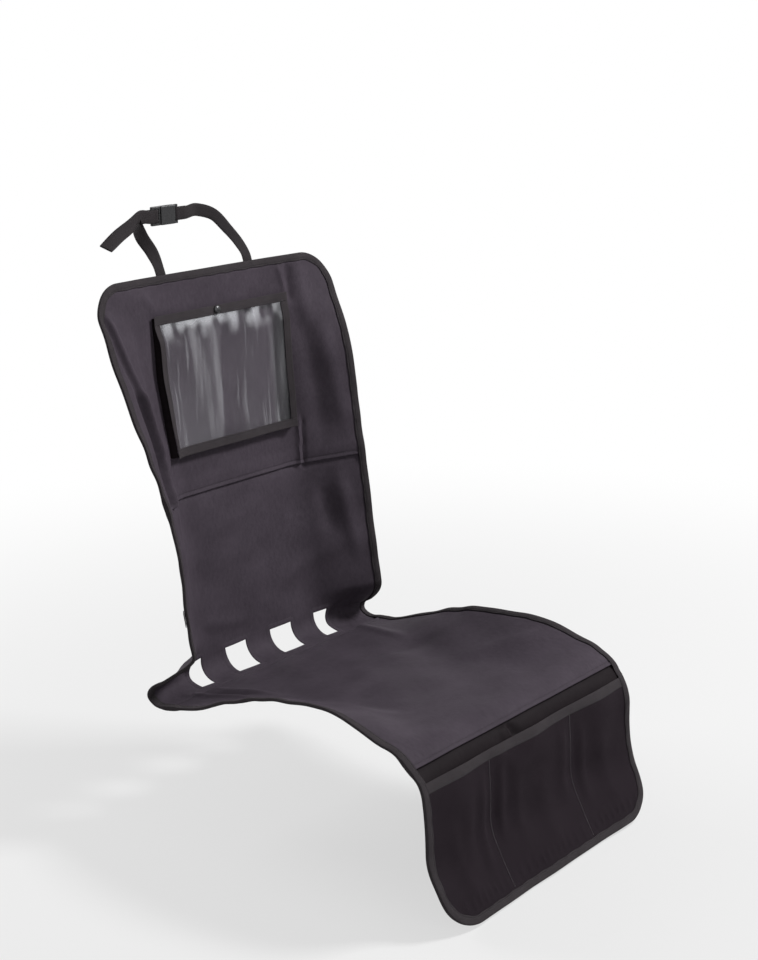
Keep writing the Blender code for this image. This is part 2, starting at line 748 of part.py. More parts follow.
hem_half = HALF - BINDING_WIDTH - CLEARANCE
hem_path = [(u, MESH_TOP, 0, 1) for u in between(mesh_columns, -hem_half, hem_half)]
swept("apron_pocket_hem", hem_path, hem_section, BINDING_TAPE)


# Straps: webbing sewn behind the top edge, which goes round the headrest's posts and meets in a buckle
def webbing(name, knots, look, steps=4):
    """Webbing through knots of centre and width direction, smoothly joined."""
    centres = np.array([k[0] for k in knots], float)
    widths = np.array([k[1] for k in knots], float)
    gaps = np.linalg.norm(np.diff(centres, axis=0), axis=1)

    def curve(p):
        slopes = np.diff(p, axis=0) / gaps[:, None]
        before = gaps[:-1, None]
        after = gaps[1:, None]
        inner = (slopes[:-1] * after + slopes[1:] * before) / (before + after)
        tangents = np.concatenate([slopes[:1], inner, slopes[-1:]])
        points = []
        for i, gap in enumerate(gaps):
            for f in np.arange(steps) / steps:
                rise = 3 * f**2 - 2 * f**3
                start = (f**3 - 2 * f**2 + f) * gap * tangents[i]
                end = (f**3 - f**2) * gap * tangents[i + 1]
                points.append((1 - rise) * p[i] + rise * p[i + 1] + start + end)
        return np.array(points + [p[-1]])

    line = curve(centres)
    wide = curve(widths)
    along = np.gradient(line, axis=0)
    along /= np.linalg.norm(along, axis=1, keepdims=True)
    wide = wide - along * (wide * along).sum(1, keepdims=True)
    wide /= np.linalg.norm(wide, axis=1, keepdims=True)
    thick = np.cross(along, wide)
    rings = []
    for a, b in ((-1, -1), (1, -1), (1, 1), (-1, 1)):
        rings.append(line + wide * a * WEBBING_WIDTH / 2 + thick * b * WEBBING_THICKNESS / 2)
    return loft(name, np.stack(rings, 1), look)


strap_height = -(PANEL_FRONT + CLEARANCE + TAPE_THICKNESS + 1.5 * CLEARANCE + WEBBING_THICKNESS / 2)
TOP_Y, TOP_Z = cloth(0, 0, 0)[1:]
ALONG_X = (1, 0, 0)
buckle = np.array([BUCKLE_X, TOP_Y + BUCKLE_BEHIND_TOP, TOP_Z + BUCKLE_ABOVE_TOP])


def strap_start(side):
    """From the stitched foot behind the panel to just over the top edge."""
    u = side * STRAP_FROM_MIDDLE
    rows = [(cloth(u, STRAP_FOOT * part, strap_height), ALONG_X) for part in (1, 0.5, 0.135, 0)]
    rows.append((cloth(u, -STRAP_FOOT * 0.27, strap_height - WEBBING_THICKNESS * 2.3), ALONG_X))
    return rows


def off_top(x, back, up):
    """A point across, back and up from the middle of the top edge, in lengths of STRAP_FROM_MIDDLE."""
    return np.array([0, TOP_Y, TOP_Z]) + STRAP_FROM_MIDDLE * np.array([x, back, up])


plug_bar_x = BUCKLE_X - SOCKET_LENGTH / 2 - PLUG_BASE + BAR * 1.5 + SLOT
plug_wrap = PLUG_THICKNESS / 2 + CLEARANCE + WEBBING_THICKNESS / 2
socket_wrap = BAR / 2 + CLEARANCE + WEBBING_THICKNESS / 2
through = (BAR + SLOT) / 2
DOWNWARD = (0, 0, -1)
left_knots = strap_start(-1) + [
    (off_top(-1.0, 0.213, 0.340), (0.92, -0.30, -0.20)),
    (off_top(-0.979, 0.468, 0.585), (0.66, -0.50, -0.56)),
    (off_top(-0.872, 0.660, 0.755), (0.36, -0.36, -0.86)),
    (off_top(-0.734, 0.750, 0.824), (0.10, -0.10, -0.98)),
    ((plug_bar_x - WRAP_FAR, buckle[1] + plug_wrap, buckle[2]), DOWNWARD),
    ((plug_bar_x - WRAP_NEAR, buckle[1] + plug_wrap, buckle[2]), DOWNWARD),
    ((plug_bar_x + through * 0.35, buckle[1] + plug_wrap, buckle[2]), DOWNWARD),
    ((plug_bar_x + through * 0.95, buckle[1] + plug_wrap * 0.6, buckle[2]), DOWNWARD),
    ((plug_bar_x + through, buckle[1], buckle[2]), DOWNWARD),
    ((plug_bar_x + through * 0.95, buckle[1] - plug_wrap * 0.6, buckle[2]), DOWNWARD),
    ((plug_bar_x + through * 0.35, buckle[1] - plug_wrap, buckle[2]), DOWNWARD),
    ((plug_bar_x - WRAP_NEAR, buckle[1] - plug_wrap, buckle[2]), DOWNWARD),
    ((plug_bar_x - WRAP_FAR, buckle[1] - plug_wrap * 1.3, buckle[2]), DOWNWARD),
    (off_top(-0.809, 0.612, 0.867), (0.0, 0.05, -0.99)),
    (off_top(-1.021, 0.511, 0.867), (0.0, 0.15, -0.98)),
    (off_top(-1.191, 0.436, 0.798), (0.1, 0.30, -0.95)),
    (off_top(-1.596, 0.330, 0.660), (0.1, 0.45, -0.85)),
    (off_top(-2.0, 0.181, 0.521), (0.1, 0.55, -0.80)),
]
webbing("left_strap", left_knots, WEBBING)
socket_bar_x = BUCKLE_X + SOCKET_LENGTH / 2 + SLOT + BAR / 2
right_knots = strap_start(1) + [
    (off_top(1.0, 0.191, 0.255), (0.97, 0.20, 0.05)),
    (off_top(0.989, 0.479, 0.511), (0.80, 0.45, 0.40)),
    (off_top(0.872, 0.681, 0.745), (0.35, 0.25, 0.90)),
    (off_top(0.596, 0.766, 0.840), (0.0, 0.0, 1.0)),
    ((socket_bar_x + WRAP_FAR, buckle[1] - socket_wrap, buckle[2]), (0, 0, 1)),
    ((socket_bar_x + WRAP_NEAR, buckle[1] - socket_wrap, buckle[2]), (0, 0, 1)),
    ((socket_bar_x - through * 0.35, buckle[1] - socket_wrap, buckle[2]), (0, 0, 1)),
    ((socket_bar_x - through * 0.92, buckle[1] - socket_wrap * 0.62, buckle[2]), (0, 0, 1)),
    ((socket_bar_x - through, buckle[1], buckle[2]), (0, 0, 1)),
    ((socket_bar_x - through * 0.92, buckle[1] + socket_wrap * 0.62, buckle[2]), (0, 0, 1)),
    ((socket_bar_x - through * 0.35, buckle[1] + socket_wrap, buckle[2]), (0, 0, 1)),
    ((socket_bar_x + WRAP_NEAR, buckle[1] + socket_wrap, buckle[2]), (0, 0, 1)),
    ((socket_bar_x + SEWN_END, buckle[1] + socket_wrap, buckle[2]), (0, 0, 1)),
]
webbing("right_strap", right_knots, WEBBING)


# Buckle: a moulded socket with side windows, and a plug with two sprung prongs, a guide and an adjusting bar
def block(name, size, centre, look=None, group=collection, bevel=0.0):
    half = np.array(size) / 2
    corners = [(x, y, z) for x in (-1, 1) for y in (-1, 1) for z in (-1, 1)]
    vertices = [np.array(centre) + half * c for c in corners]
    faces = [(0, 1, 3, 2), (4, 6, 7, 5), (0, 4, 5, 1), (2, 3, 7, 6), (0, 2, 6, 4), (1, 5, 7, 3)]
    made = face_out(add(name, vertices, faces, look, group))
    if bevel:
        round_edges = made.modifiers.new("rounded edges", "BEVEL")
        round_edges.width = bevel
        round_edges.segments = 2
        round_edges.limit_method = "ANGLE"
    return made


def combine(made, tool, operation):
    step = made.modifiers.new(tool.name, "BOOLEAN")
    step.operation = operation
    step.solver = "EXACT"
    step.object = tool
    tool.hide_render = True
    tool.display_type = "WIRE"


bar_block = SLOT + BAR
socket_centre = buckle
socket = block(
    "buckle_socket",
    (SOCKET_LENGTH, BUCKLE_THICKNESS, BUCKLE_WIDTH),
    socket_centre,
    BUCKLE_PLASTIC,
    bevel=0.0014,
)
socket_room = BUCKLE_THICKNESS - 2 * SOCKET_WALL
room_length = SOCKET_LENGTH - 2 * SOCKET_WALL
room = block(
    "socket room",
    (room_length + 0.01, socket_room, BUCKLE_WIDTH - 2 * SOCKET_WALL),
    socket_centre - np.array([0.005 + SOCKET_WALL, 0, 0]),
    group=cutters,
)
combine(socket, room, "DIFFERENCE")
for side in (-1, 1):
    window = block(
        f"socket window {side}",
        (SOCKET_LENGTH * 0.42, socket_room - 0.001, 0.012),
        socket_centre + np.array([0.002, 0, side * BUCKLE_WIDTH / 2]),
        group=cutters,
    )
    combine(socket, window, "DIFFERENCE")
frame_length = bar_block + 0.002
socket_frame = block(
    "socket frame",
    (frame_length, BAR, BUCKLE_WIDTH),
    socket_centre + np.array([SOCKET_LENGTH / 2 + frame_length / 2 - 0.002, 0, 0]),
    group=cutters,
)
combine(socket, socket_frame, "UNION")
socket_slot = block(
    "socket slot",
    (SLOT, 0.02, WEBBING_WIDTH + 0.002),
    (socket_bar_x - BAR / 2 - SLOT / 2, buckle[1], buckle[2]),
    group=cutters,
)
combine(socket, socket_slot, "DIFFERENCE")

prong_thickness = socket_room - 2 * CLEARANCE
plug_face = BUCKLE_X - SOCKET_LENGTH / 2 - CLEARANCE
plug = block(
    "buckle_plug",
    (PLUG_BASE, PLUG_THICKNESS, BUCKLE_WIDTH),
    (plug_face - PLUG_BASE / 2, buckle[1], buckle[2]),
    BUCKLE_PLASTIC,
    bevel=0.0012,
)
prong_width = 0.0036
prong_reach = min(PRONG_LENGTH, room_length - 0.003)
inside_half = BUCKLE_WIDTH / 2 - SOCKET_WALL - CLEARANCE
for label, offset in (("low prong", -inside_half + prong_width / 2), ("high prong", inside_half - prong_width / 2), ("guide", 0.0)):
    tongue = block(
        label,
        (prong_reach + 0.003, prong_thickness, prong_width),
        (plug_face - 0.003 + (prong_reach + 0.003) / 2, buckle[1], buckle[2] + offset),
        group=cutters,
    )
    combine(plug, tongue, "UNION")
for k, x in enumerate((plug_bar_x - BAR / 2 - SLOT / 2, plug_bar_x + BAR / 2 + SLOT / 2)):
    slot = block(
        f"plug slot {k}",
        (SLOT, 0.02, WEBBING_WIDTH + 0.002),
        (x, buckle[1], buckle[2]),
        group=cutters,
    )
    combine(plug, slot, "DIFFERENCE")

# Side tab: a short folded tape that sticks out from behind the left binding
tab_height = -(PANEL_FRONT + CLEARANCE + TAPE_THICKNESS + CLEARANCE + TAPE_THICKNESS / 2)
sheet(
    "side_tab",
    [-HALF - TAB_LENGTH, -HALF - TAB_LENGTH / 2, -HALF, -HALF + BINDING_WIDTH * 0.6],
    [TAB_FROM_TOP, TAB_FROM_TOP + TAB_WIDTH / 2, TAB_FROM_TOP + TAB_WIDTH],
    BINDING_TAPE,
    tab_height,
    TAPE_THICKNESS,
)
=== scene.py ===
"""Car seat protector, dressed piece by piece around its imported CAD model.

Metres, +Z up. Every piece is laid out on the flat cloth: u runs across it from the middle, s runs down it
from the top edge, and h is the height over its middle surface. One function, cloth(), drapes them all alike.
"""
import math

import bpy
import numpy as np
from mathutils import Matrix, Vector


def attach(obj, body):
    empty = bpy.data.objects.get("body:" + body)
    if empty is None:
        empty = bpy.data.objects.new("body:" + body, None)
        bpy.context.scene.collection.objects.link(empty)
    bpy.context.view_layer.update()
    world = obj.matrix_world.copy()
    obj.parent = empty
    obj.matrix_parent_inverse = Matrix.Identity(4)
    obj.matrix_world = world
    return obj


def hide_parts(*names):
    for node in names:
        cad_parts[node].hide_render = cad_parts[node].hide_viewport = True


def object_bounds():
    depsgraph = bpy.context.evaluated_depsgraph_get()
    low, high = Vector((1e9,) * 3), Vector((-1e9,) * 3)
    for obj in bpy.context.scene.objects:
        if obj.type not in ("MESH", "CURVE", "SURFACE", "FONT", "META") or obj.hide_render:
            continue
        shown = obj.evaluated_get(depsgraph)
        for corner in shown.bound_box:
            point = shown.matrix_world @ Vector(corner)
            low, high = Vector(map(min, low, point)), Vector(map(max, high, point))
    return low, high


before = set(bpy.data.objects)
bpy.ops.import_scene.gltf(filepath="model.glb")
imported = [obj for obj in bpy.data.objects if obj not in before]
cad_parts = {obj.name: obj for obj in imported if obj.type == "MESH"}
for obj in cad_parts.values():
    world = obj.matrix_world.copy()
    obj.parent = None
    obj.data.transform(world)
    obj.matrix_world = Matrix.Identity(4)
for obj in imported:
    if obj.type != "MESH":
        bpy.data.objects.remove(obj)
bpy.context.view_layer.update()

# Panels: four pieces of padded woven cloth with a soft satin face. They are cut flat, lapped over one another
# and sewn with a straight row of thread. Draped, they run down the seat's back, through its crease, over its
# cushion and down its front edge, and they keep the folds of being carried and sat on.
CLOTH_WIDTH = 0.500
BACK_LENGTH = 0.6065
SEAT_LENGTH = 0.4922
APRON_LENGTH = 0.2373
CLOTH_THICKNESS = 0.0024
TOP_CORNER_RADIUS = 0.052
APRON_CORNER_RADIUS = 0.062
CLEARANCE = 0.0003
BACK_RECLINE = math.radians(8.4)
SEAT_SLOPE = math.radians(5.4)
CREASE_RADIUS = 0.033
FRONT_RADIUS = 0.0546
APRON_LEAN = math.radians(2.2)
CURL_ANGLE = math.radians(27.8)
CURL_START = 0.1169
CURL_LENGTH = 0.050
FOLD_LINE = 0.126
FOLD_SPREAD = 0.044
TOP_FOLD = math.radians(9)
LEFT_FOLD = math.radians(42)
LEFT_FOLD_FROM = 0.62
LEFT_FOLD_TO = 0.20
RIGHT_FOLD = math.radians(33)
RIGHT_FOLD_FROM = 0.61
RIGHT_FOLD_TO = 0.42
UNFOLD_ABOVE_CREASE = 0.062
BOLSTER_FOLD = math.radians(20.5)
BOLSTER_FROM = 0.03
BOLSTER_RISE = 0.27
BOLSTER_FALL = 0.16
APRON_FOLD = math.radians(3.5)
APRON_FOLD_LENGTH = 0.06
LAP_WIDTH = 0.014
LAP_SLOPE = 0.016
BACK_SEAM = 0.331
BINDING_WIDTH = 0.0105
SNAP_FROM_TOP = 0.06325

CLOTH_LENGTH = BACK_LENGTH + SEAT_LENGTH + APRON_LENGTH
CREASE = BACK_LENGTH
FRONT = BACK_LENGTH + SEAT_LENGTH
HALF = CLOTH_WIDTH / 2
REAR_SEAM = CREASE + 0.038
APRON_SEAM = FRONT + 0.0024
LAP_LIFT = (CLOTH_THICKNESS + CLEARANCE) / 2
LAPS = (
    (BACK_SEAM - LAP_WIDTH, BACK_SEAM),
    (REAR_SEAM, REAR_SEAM + LAP_WIDTH),
    (APRON_SEAM - LAP_WIDTH, APRON_SEAM),
)
FLAP_START = FOLD_LINE + FOLD_SPREAD / 2
PANEL_FRONT = CLOTH_THICKNESS / 2


def smooth(x, start, end):
    """Rises from 0 at start to 1 at end, without a kink."""
    t = np.clip((np.asarray(x, float) - start) / (end - start), 0, 1)
    return t * t * (3 - 2 * t)


def middle_line():
    """The line down the middle of the cloth: its angle from straight down, added up into points."""
    step = 0.001
    extra = 0.03
    s = np.arange(-extra, CLOTH_LENGTH + extra, step)
    at_crease = math.pi / 2 - BACK_RECLINE + SEAT_SLOPE
    at_front = math.pi / 2 - APRON_LEAN + SEAT_SLOPE
    crease_half = at_crease * CREASE_RADIUS / 2
    front_half = at_front * FRONT_RADIUS / 2
    curl_from = FRONT + CURL_START
    angle = BACK_RECLINE
    angle = angle + at_crease * np.clip((s - CREASE + crease_half) / (2 * crease_half), 0, 1)
    angle = angle - at_front * np.clip((s - FRONT + front_half) / (2 * front_half), 0, 1)
    angle = angle + CURL_ANGLE * np.clip((s - curl_from) / CURL_LENGTH, 0, 1)
    between = (angle[1:] + angle[:-1]) / 2
    y = np.concatenate([[0.0], np.cumsum(-np.sin(between) * step)])
    z = np.concatenate([[0.0], np.cumsum(-np.cos(between) * step)])
    seat_middle = CREASE + SEAT_LENGTH / 2
    y = y - np.interp(seat_middle, s, y) + math.sin(SEAT_SLOPE) * CLOTH_THICKNESS / 2
    z = z - np.interp(seat_middle, s, z) + math.cos(SEAT_SLOPE) * CLOTH_THICKNESS / 2
    return s, y, z, angle


LINE = middle_line()


def fold_angle(u, s):
    """How far a side of the cloth is folded forward or up, at each distance down the cloth."""
    above = CREASE - s
    ahead = s - CREASE
    left = TOP_FOLD + (LEFT_FOLD - TOP_FOLD) * (1 - smooth(above, LEFT_FOLD_TO, LEFT_FOLD_FROM))
    right = TOP_FOLD + (RIGHT_FOLD - TOP_FOLD) * (1 - smooth(above, RIGHT_FOLD_TO, RIGHT_FOLD_FROM))
    on_back = np.where(u < 0, left, right) * smooth(above, 0, UNFOLD_ABOVE_CREASE)
    on_seat = BOLSTER_FOLD * smooth(ahead, BOLSTER_FROM, BOLSTER_RISE)
    on_seat = on_seat * (1 - smooth(s, FRONT - BOLSTER_FALL, FRONT))
    on_apron = APRON_FOLD * smooth(s, FRONT, FRONT + APRON_FOLD_LENGTH)
    return on_back + on_seat + on_apron


def middle_surface(u, s):
    """The middle of the cloth's thickness, without its small folds."""
    line_s, line_y, line_z, line_angle = LINE
    y = np.interp(s, line_s, line_y)
    z = np.interp(s, line_s, line_z)
    angle = np.interp(s, line_s, line_angle)
    bend = np.maximum(fold_angle(u, s), 1e-6) / FOLD_SPREAD
    flat = FOLD_LINE - FOLD_SPREAD / 2
    past = np.abs(u) - flat
    turning = np.clip(past, 0, FOLD_SPREAD)
    straight = np.maximum(past - FOLD_SPREAD, 0)
    turned = bend * FOLD_SPREAD
    out = np.minimum(np.abs(u), flat) + np.sin(bend * turning) / bend + straight * np.cos(turned)
    up = (1 - np.cos(bend * turning)) / bend + straight * np.sin(turned)
    return np.stack([np.sign(u) * out, y - np.cos(angle) * up, z + np.sin(angle) * up], -1)


# Folds that the cloth keeps: start and end on the flat cloth, half width, and height, negative in a valley
FOLDS = (
    ((0.150, 0.014), (0.156, 0.056), 0.0048, 0.0026),
    ((0.168, 0.014), (0.163, 0.072), 0.0070, -0.0046),
    ((0.190, 0.010), (0.184, 0.110), 0.0120, 0.0034),
    ((0.176, 0.090), (0.184, 0.300), 0.0150, -0.0034),
    ((0.206, 0.110), (0.224, 0.290), 0.0160, 0.0042),
    ((-0.174, 0.070), (-0.166, 0.230), 0.0140, -0.0036),
    ((-0.150, 0.020), (-0.120, 0.052), 0.0090, 0.0018),
    ((0.040, 0.014), (0.020, 0.048), 0.0080, 0.0016),
    ((-0.160, 0.330), (-0.214, 0.450), 0.0140, 0.0044),
    ((-0.228, 0.370), (-0.208, 0.510), 0.0110, -0.0036),
    ((-0.090, 0.400), (0.040, 0.372), 0.0170, 0.0020),
    ((-0.050, 0.470), (0.060, 0.450), 0.0180, -0.0022),
    ((0.060, 0.510), (0.190, 0.472), 0.0150, 0.0030),
    ((0.200, 0.350), (0.216, 0.490), 0.0140, 0.0042),
    ((0.170, 0.370), (0.178, 0.450), 0.0130, -0.0030),
    ((-0.120, 0.530), (-0.020, 0.548), 0.0110, 0.0022),
    ((-0.205, 0.560), (-0.150, 0.610), 0.0090, -0.0032),
    ((0.205, 0.560), (0.150, 0.610), 0.0090, -0.0032),
    ((-0.196, 0.636), (-0.176, 0.740), 0.0065, 0.0036),
    ((-0.178, 0.650), (-0.160, 0.730), 0.0055, -0.0032),
    ((-0.158, 0.655), (-0.142, 0.760), 0.0070, 0.0032),
    ((0.190, 0.640), (0.160, 0.760), 0.0100, 0.0032),
    ((-0.110, 0.690), (0.030, 0.730), 0.0150, 0.0022),
    ((0.060, 0.760), (0.170, 0.820), 0.0180, -0.0026),
    ((-0.100, 0.850), (0.020, 0.820), 0.0200, 0.0024),
    ((-0.210, 0.860), (-0.120, 0.990), 0.0170, 0.0032),
    ((0.120, 0.900), (0.220, 1.000), 0.0180, 0.0032),
    ((-0.080, FRONT + 0.036), (-0.020, FRONT + 0.078), 0.0150, 0.0022),
    ((0.020, FRONT + 0.080), (-0.060, FRONT + 0.125), 0.0170, -0.0018),
)
# Pleats, where the cloth steps down to the right of the line, or up where the height is negative: start, end,
# half width, and the step's height. The first three are one fold that runs down the left flap.
PLEATS = (
    ((-0.236, 0.045), (-0.206, 0.160), 0.0052, -0.0075),
    ((-0.206, 0.160), (-0.194, 0.262), 0.0055, -0.0165),
    ((-0.194, 0.262), (-0.208, 0.330), 0.0055, -0.0150),
    ((0.1500, 0.258), (0.1430, 0.336), 0.0034, 0.0052),
)
STRIP_PLEAT = ((-0.0400, FRONT + 0.006), (-0.0350, FRONT + 0.048), 0.0075, 0.0100)
# The cloth's soft unevenness, as swells: height, turns across and down it in radians a metre, and phase
CLOTH_SWELLS = (
    (0.00055, 41, -29, 0.9 + math.pi / 2),
    (0.00055, 41, 29, 1.7 - math.pi / 2),
    (0.0006, 67, 38, 2.1),
    (0.0004, -31, 83, 0.7),
)
EDGE_FLUTTER = 0.0007
FLUTTER_BAND = 0.03
SNAP_FLAT = 0.008
SNAP_SPREAD = 0.03


def swells(u, s, rows):
    """Soft waves of the cloth, added up."""
    return sum(height * np.sin(across * u + down * s + phase) for height, across, down, phase in rows)


def by_line(u, s, start, end):
    """How far along the line from start to end points lie, as a share of it, and how far off it."""
    run_u = end[0] - start[0]
    run_s = end[1] - start[1]
    length = math.hypot(run_u, run_s)
    along = ((u - start[0]) * run_u + (s - start[1]) * run_s) / length**2
    off = ((u - start[0]) * run_s - (s - start[1]) * run_u) / length
    return along, off


def fold(u, s, start, end, width, height):
    """A soft fold along the line from start to end, which fades out at both."""
    along, off = by_line(u, s, start, end)
    shown = smooth(along, -0.18, 0.25) * (1 - smooth(along, 0.75, 1.18))
    return height * shown * np.exp(-((off / width) ** 2))


def pleat(u, s, start, end, width, height):
    """A step across the line from start to end: a ridge on its left and a valley on its right."""
    along, off = by_line(u, s, start, end)
    off = off / width
    shown = smooth(along, -0.12, 0.12) * (1 - smooth(along, 0.88, 1.12))
    return -height * shown * off * np.exp((1 - off * off) / 2) / 2


def relief(u, s):
    """What the cloth's folds and its soft unevenness add to its height, away from the press stud."""
    wave = swells(u, s, CLOTH_SWELLS)
    flutter = EDGE_FLUTTER * np.sin(97 * s + 1.7 * np.sin(23 * s) + np.sign(u))
    wave = wave + flutter * smooth(np.abs(u), HALF - FLUTTER_BAND, HALF)
    for row in FOLDS:
        wave = wave + fold(u, s, *row)
    for row in PLEATS:
        wave = wave + pleat(u, s, *row)
    from_snap = np.hypot(u, s - SNAP_FROM_TOP)
    return wave * smooth(from_snap, SNAP_FLAT, SNAP_SPREAD)


def cloth(u, s, h=0.0):
    """Places points of the flat cloth, h above its middle surface, on the draped one."""
    u, s, h = np.broadcast_arrays(np.asarray(u, float), np.asarray(s, float), np.asarray(h, float))
    near = 0.0015
    across = middle_surface(u + near, s) - middle_surface(u - near, s)
    down = middle_surface(u, s + near) - middle_surface(u, s - near)
    normal = np.cross(down, across)
    normal /= np.linalg.norm(normal, axis=-1, keepdims=True)
    return middle_surface(u, s) + normal * (h + relief(u, s))[..., None]


def half_width(s, inset=0.0):
    """Half the cloth's width at s, less at its rounded corners."""
    top = TOP_CORNER_RADIUS
    low = APRON_CORNER_RADIUS - inset
    from_top = np.clip(np.asarray(s, float), 0, top)
    from_end = np.clip(CLOTH_LENGTH - inset - s, 0, low)
    top_loss = top - np.sqrt(np.maximum(top**2 - (top - from_top) ** 2, 0))
    low_loss = low - np.sqrt(np.maximum(low**2 - (low - from_end) ** 2, 0))
    return HALF - inset - top_loss - low_loss


def lap_raise(s, lap):
    """1 where two panels lie on each other, down to 0 on either side."""
    start, end = lap
    return smooth(s, start - LAP_SLOPE, start) * (1 - smooth(s, end, end + LAP_SLOPE))


def lines(start, end, step, exact=()):
    """Even places from start to end, where an exact one takes the place of those close to it."""
    kept = [start, end] + [v for v in exact if start < v < end]
    count = max(1, round((end - start) / step))
    for value in np.linspace(start, end, count + 1):
        if min(abs(value - k) for k in kept) > step * 0.45:
            kept.append(value)
    return np.unique(np.round(kept, 7))


class Wire:
    """A socket of a finish's nodes. Arithmetic on it adds Math nodes."""

    def __init__(self, finish, socket):
        self.finish = finish
        self.socket = socket

    def math(self, operation, *values):
        return self.finish.node("ShaderNodeMath", {"operation": operation}, dict(enumerate(values)))

    def __add__(self, other):
        return self.math("ADD", self, other)

    def __radd__(self, other):
        return self.math("ADD", other, self)

    def __sub__(self, other):
        return self.math("SUBTRACT", self, other)

    def __rsub__(self, other):
        return self.math("SUBTRACT", other, self)

    def __mul__(self, other):
        return self.math("MULTIPLY", self, other)

    def __rmul__(self, other):
        return self.math("MULTIPLY", other, self)

    def sine(self):
        return self.math("SINE", self)

    def either(self, other):
        return self.math("MAXIMUM", self, other)

    def between(self, low, high):
        """0 below low and 1 above high, with a smooth rise from one to the other."""
        settings = {"interpolation_type": "SMOOTHSTEP"}
        inputs = {"Value": self, "From Min": low, "From Max": high}
        return self.finish.node("ShaderNodeMapRange", settings, inputs)


class Finish:
    """A material, or the surround: node() adds its nodes, and wear() fills the sockets of its shader."""

    def __init__(self, name, owners=bpy.data.materials, shader="Principled BSDF", **fixed):
        self.name = name
        self.owner = owners.new(name)
        self.owner.use_nodes = True
        self.tree = self.owner.node_tree
        self.shader = self.tree.nodes[shader]
        self.wear(**fixed)

    def fill(self, socket, value):
        if isinstance(value, Wire):
            self.tree.links.new(value.socket, socket)
        elif socket.type == "RGBA":
            socket.default_value = (*value, 1)
        else:
            socket.default_value = value

    def wear(self, **sockets):
        for name, value in sockets.items():
            self.fill(self.shader.inputs[name.replace("_", " ")], value)
        return self

    def node(self, kind, settings, inputs, output=0):
        """One node of a kind: its settings first, then the values and links of its sockets."""
        made = self.tree.nodes.new(kind)
        for name, value in settings.items():
            setattr(made, name, value)
        for key, value in inputs.items():
            self.fill(made.inputs[key], value)
        return Wire(self, made.outputs[output])

    def flat(self):
        """A point's place on the flat cloth, or along and across a tape, in metres."""
        return self.node("ShaderNodeUVMap", {"uv_map": "flat"}, {})

    def part(self, vector, axis):
        return self.node("ShaderNodeSeparateXYZ", {}, {0: vector}, axis)

    def turned(self, vector, angle, stretch=(1, 1, 1)):
        return self.node("ShaderNodeMapping", {}, {0: vector, "Rotation": (0, 0, angle), "Scale": stretch})

    def noise(self, vector, per_metre, detail):
        return self.node("ShaderNodeTexNoise", {}, {"Vector": vector, "Scale": per_metre, "Detail": detail})

    def tint(self, mask, low, high):
        """A colour from low to high by the mask."""
        return self.node("ShaderNodeMix", {"data_type": "RGBA"}, {0: mask, 6: low, 7: high}, 2)

    def bump(self, height, distance, strength):
        return self.node("ShaderNodeBump", {}, {"Height": height, "Distance": distance, "Strength": strength})


YARN_PITCH = 0.0011


def woven(name, dark, light):
    """Plain woven cloth of slubbed yarn: dark and light are its colours between and on the yarns."""
    made = Finish(name, Specular_IOR_Level=0.03)
    place = made.flat()
    turn = 2 * math.pi / YARN_PITCH
    over = (made.part(place, "X") * turn).sine() * (made.part(place, "Y") * turn).sine()
    slub = made.noise(made.turned(place, 0, (1, 0.22, 1)), 900, 2)
    pile = made.noise(place, 2600, 2)
    cloud = made.noise(place, 16, 3)
    rub = made.noise(made.turned(place, 0.6, (1, 0.45, 1)), 190, 3)
    shade = over * 0.16 + slub * 0.42 + pile * 0.3 + cloud * 0.5 + rub * 0.4 - 0.36
    return made.wear(
        Base_Color=made.tint(shade, dark, light),
        Roughness=0.5 + 0.16 * slub,
        Normal=made.bump(over * 0.35 + slub * 0.6 + pile * 0.25, 0.00012, 0.7),
    )


PANEL_CLOTH = woven("panel cloth", (0.034, 0.0275, 0.0350), (0.092, 0.0760, 0.0950))
APRON_CLOTH = woven("apron cloth", (0.008, 0.0063, 0.0073), (0.024, 0.0188, 0.0213))


SHARP_EDGE = math.radians(36)


def piece(name, points, faces, flat, finish):
    """A piece of this object, with each point's place on the flat cloth kept as a map for its finish.

    Its slot has the finish's own name.
    """
    mesh = bpy.data.meshes.new(name)
    mesh.from_pydata(np.asarray(points).tolist(), [], [tuple(map(int, face)) for face in faces])
    mesh.update()
    corners = np.empty(len(mesh.loops), np.int32)
    mesh.loops.foreach_get("vertex_index", corners)
    layer = mesh.uv_layers.new(name="flat")
    layer.data.foreach_set("uv", np.asarray(flat, np.float32)[corners].ravel())
    mesh.polygons.foreach_set("use_smooth", np.ones(len(mesh.polygons), bool))
    mesh.set_sharp_from_angle(angle=SHARP_EDGE)
    mesh.materials.append(finish.owner)
    made = bpy.data.objects.new(name, mesh)
    bpy.context.scene.collection.objects.link(made)
    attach(made, "root")
    return made


RIM_ROWS = 0.016


def drawn_in(u, s, columns, edge):
    """Draws the cloth's sides in at its rounded corners, where the outermost rows keep their distance."""
    widest = max(abs(columns[0]), abs(columns[-1]))
    inset = widest - np.abs(u)
    share = (edge(s) - RIM_ROWS - FLAP_START) / (widest - RIM_ROWS - FLAP_START)
    between_them = FLAP_START + (np.abs(u) - FLAP_START) * share
    drawn = np.where(inset < RIM_ROWS, edge(s) - inset, between_them)
    return np.where(np.abs(u) > FLAP_START, np.sign(u) * drawn, u)


DITCH_WIDTH = 0.0011
DITCH_DEPTH = 0.0007
ROUND_SHARE = 0.3


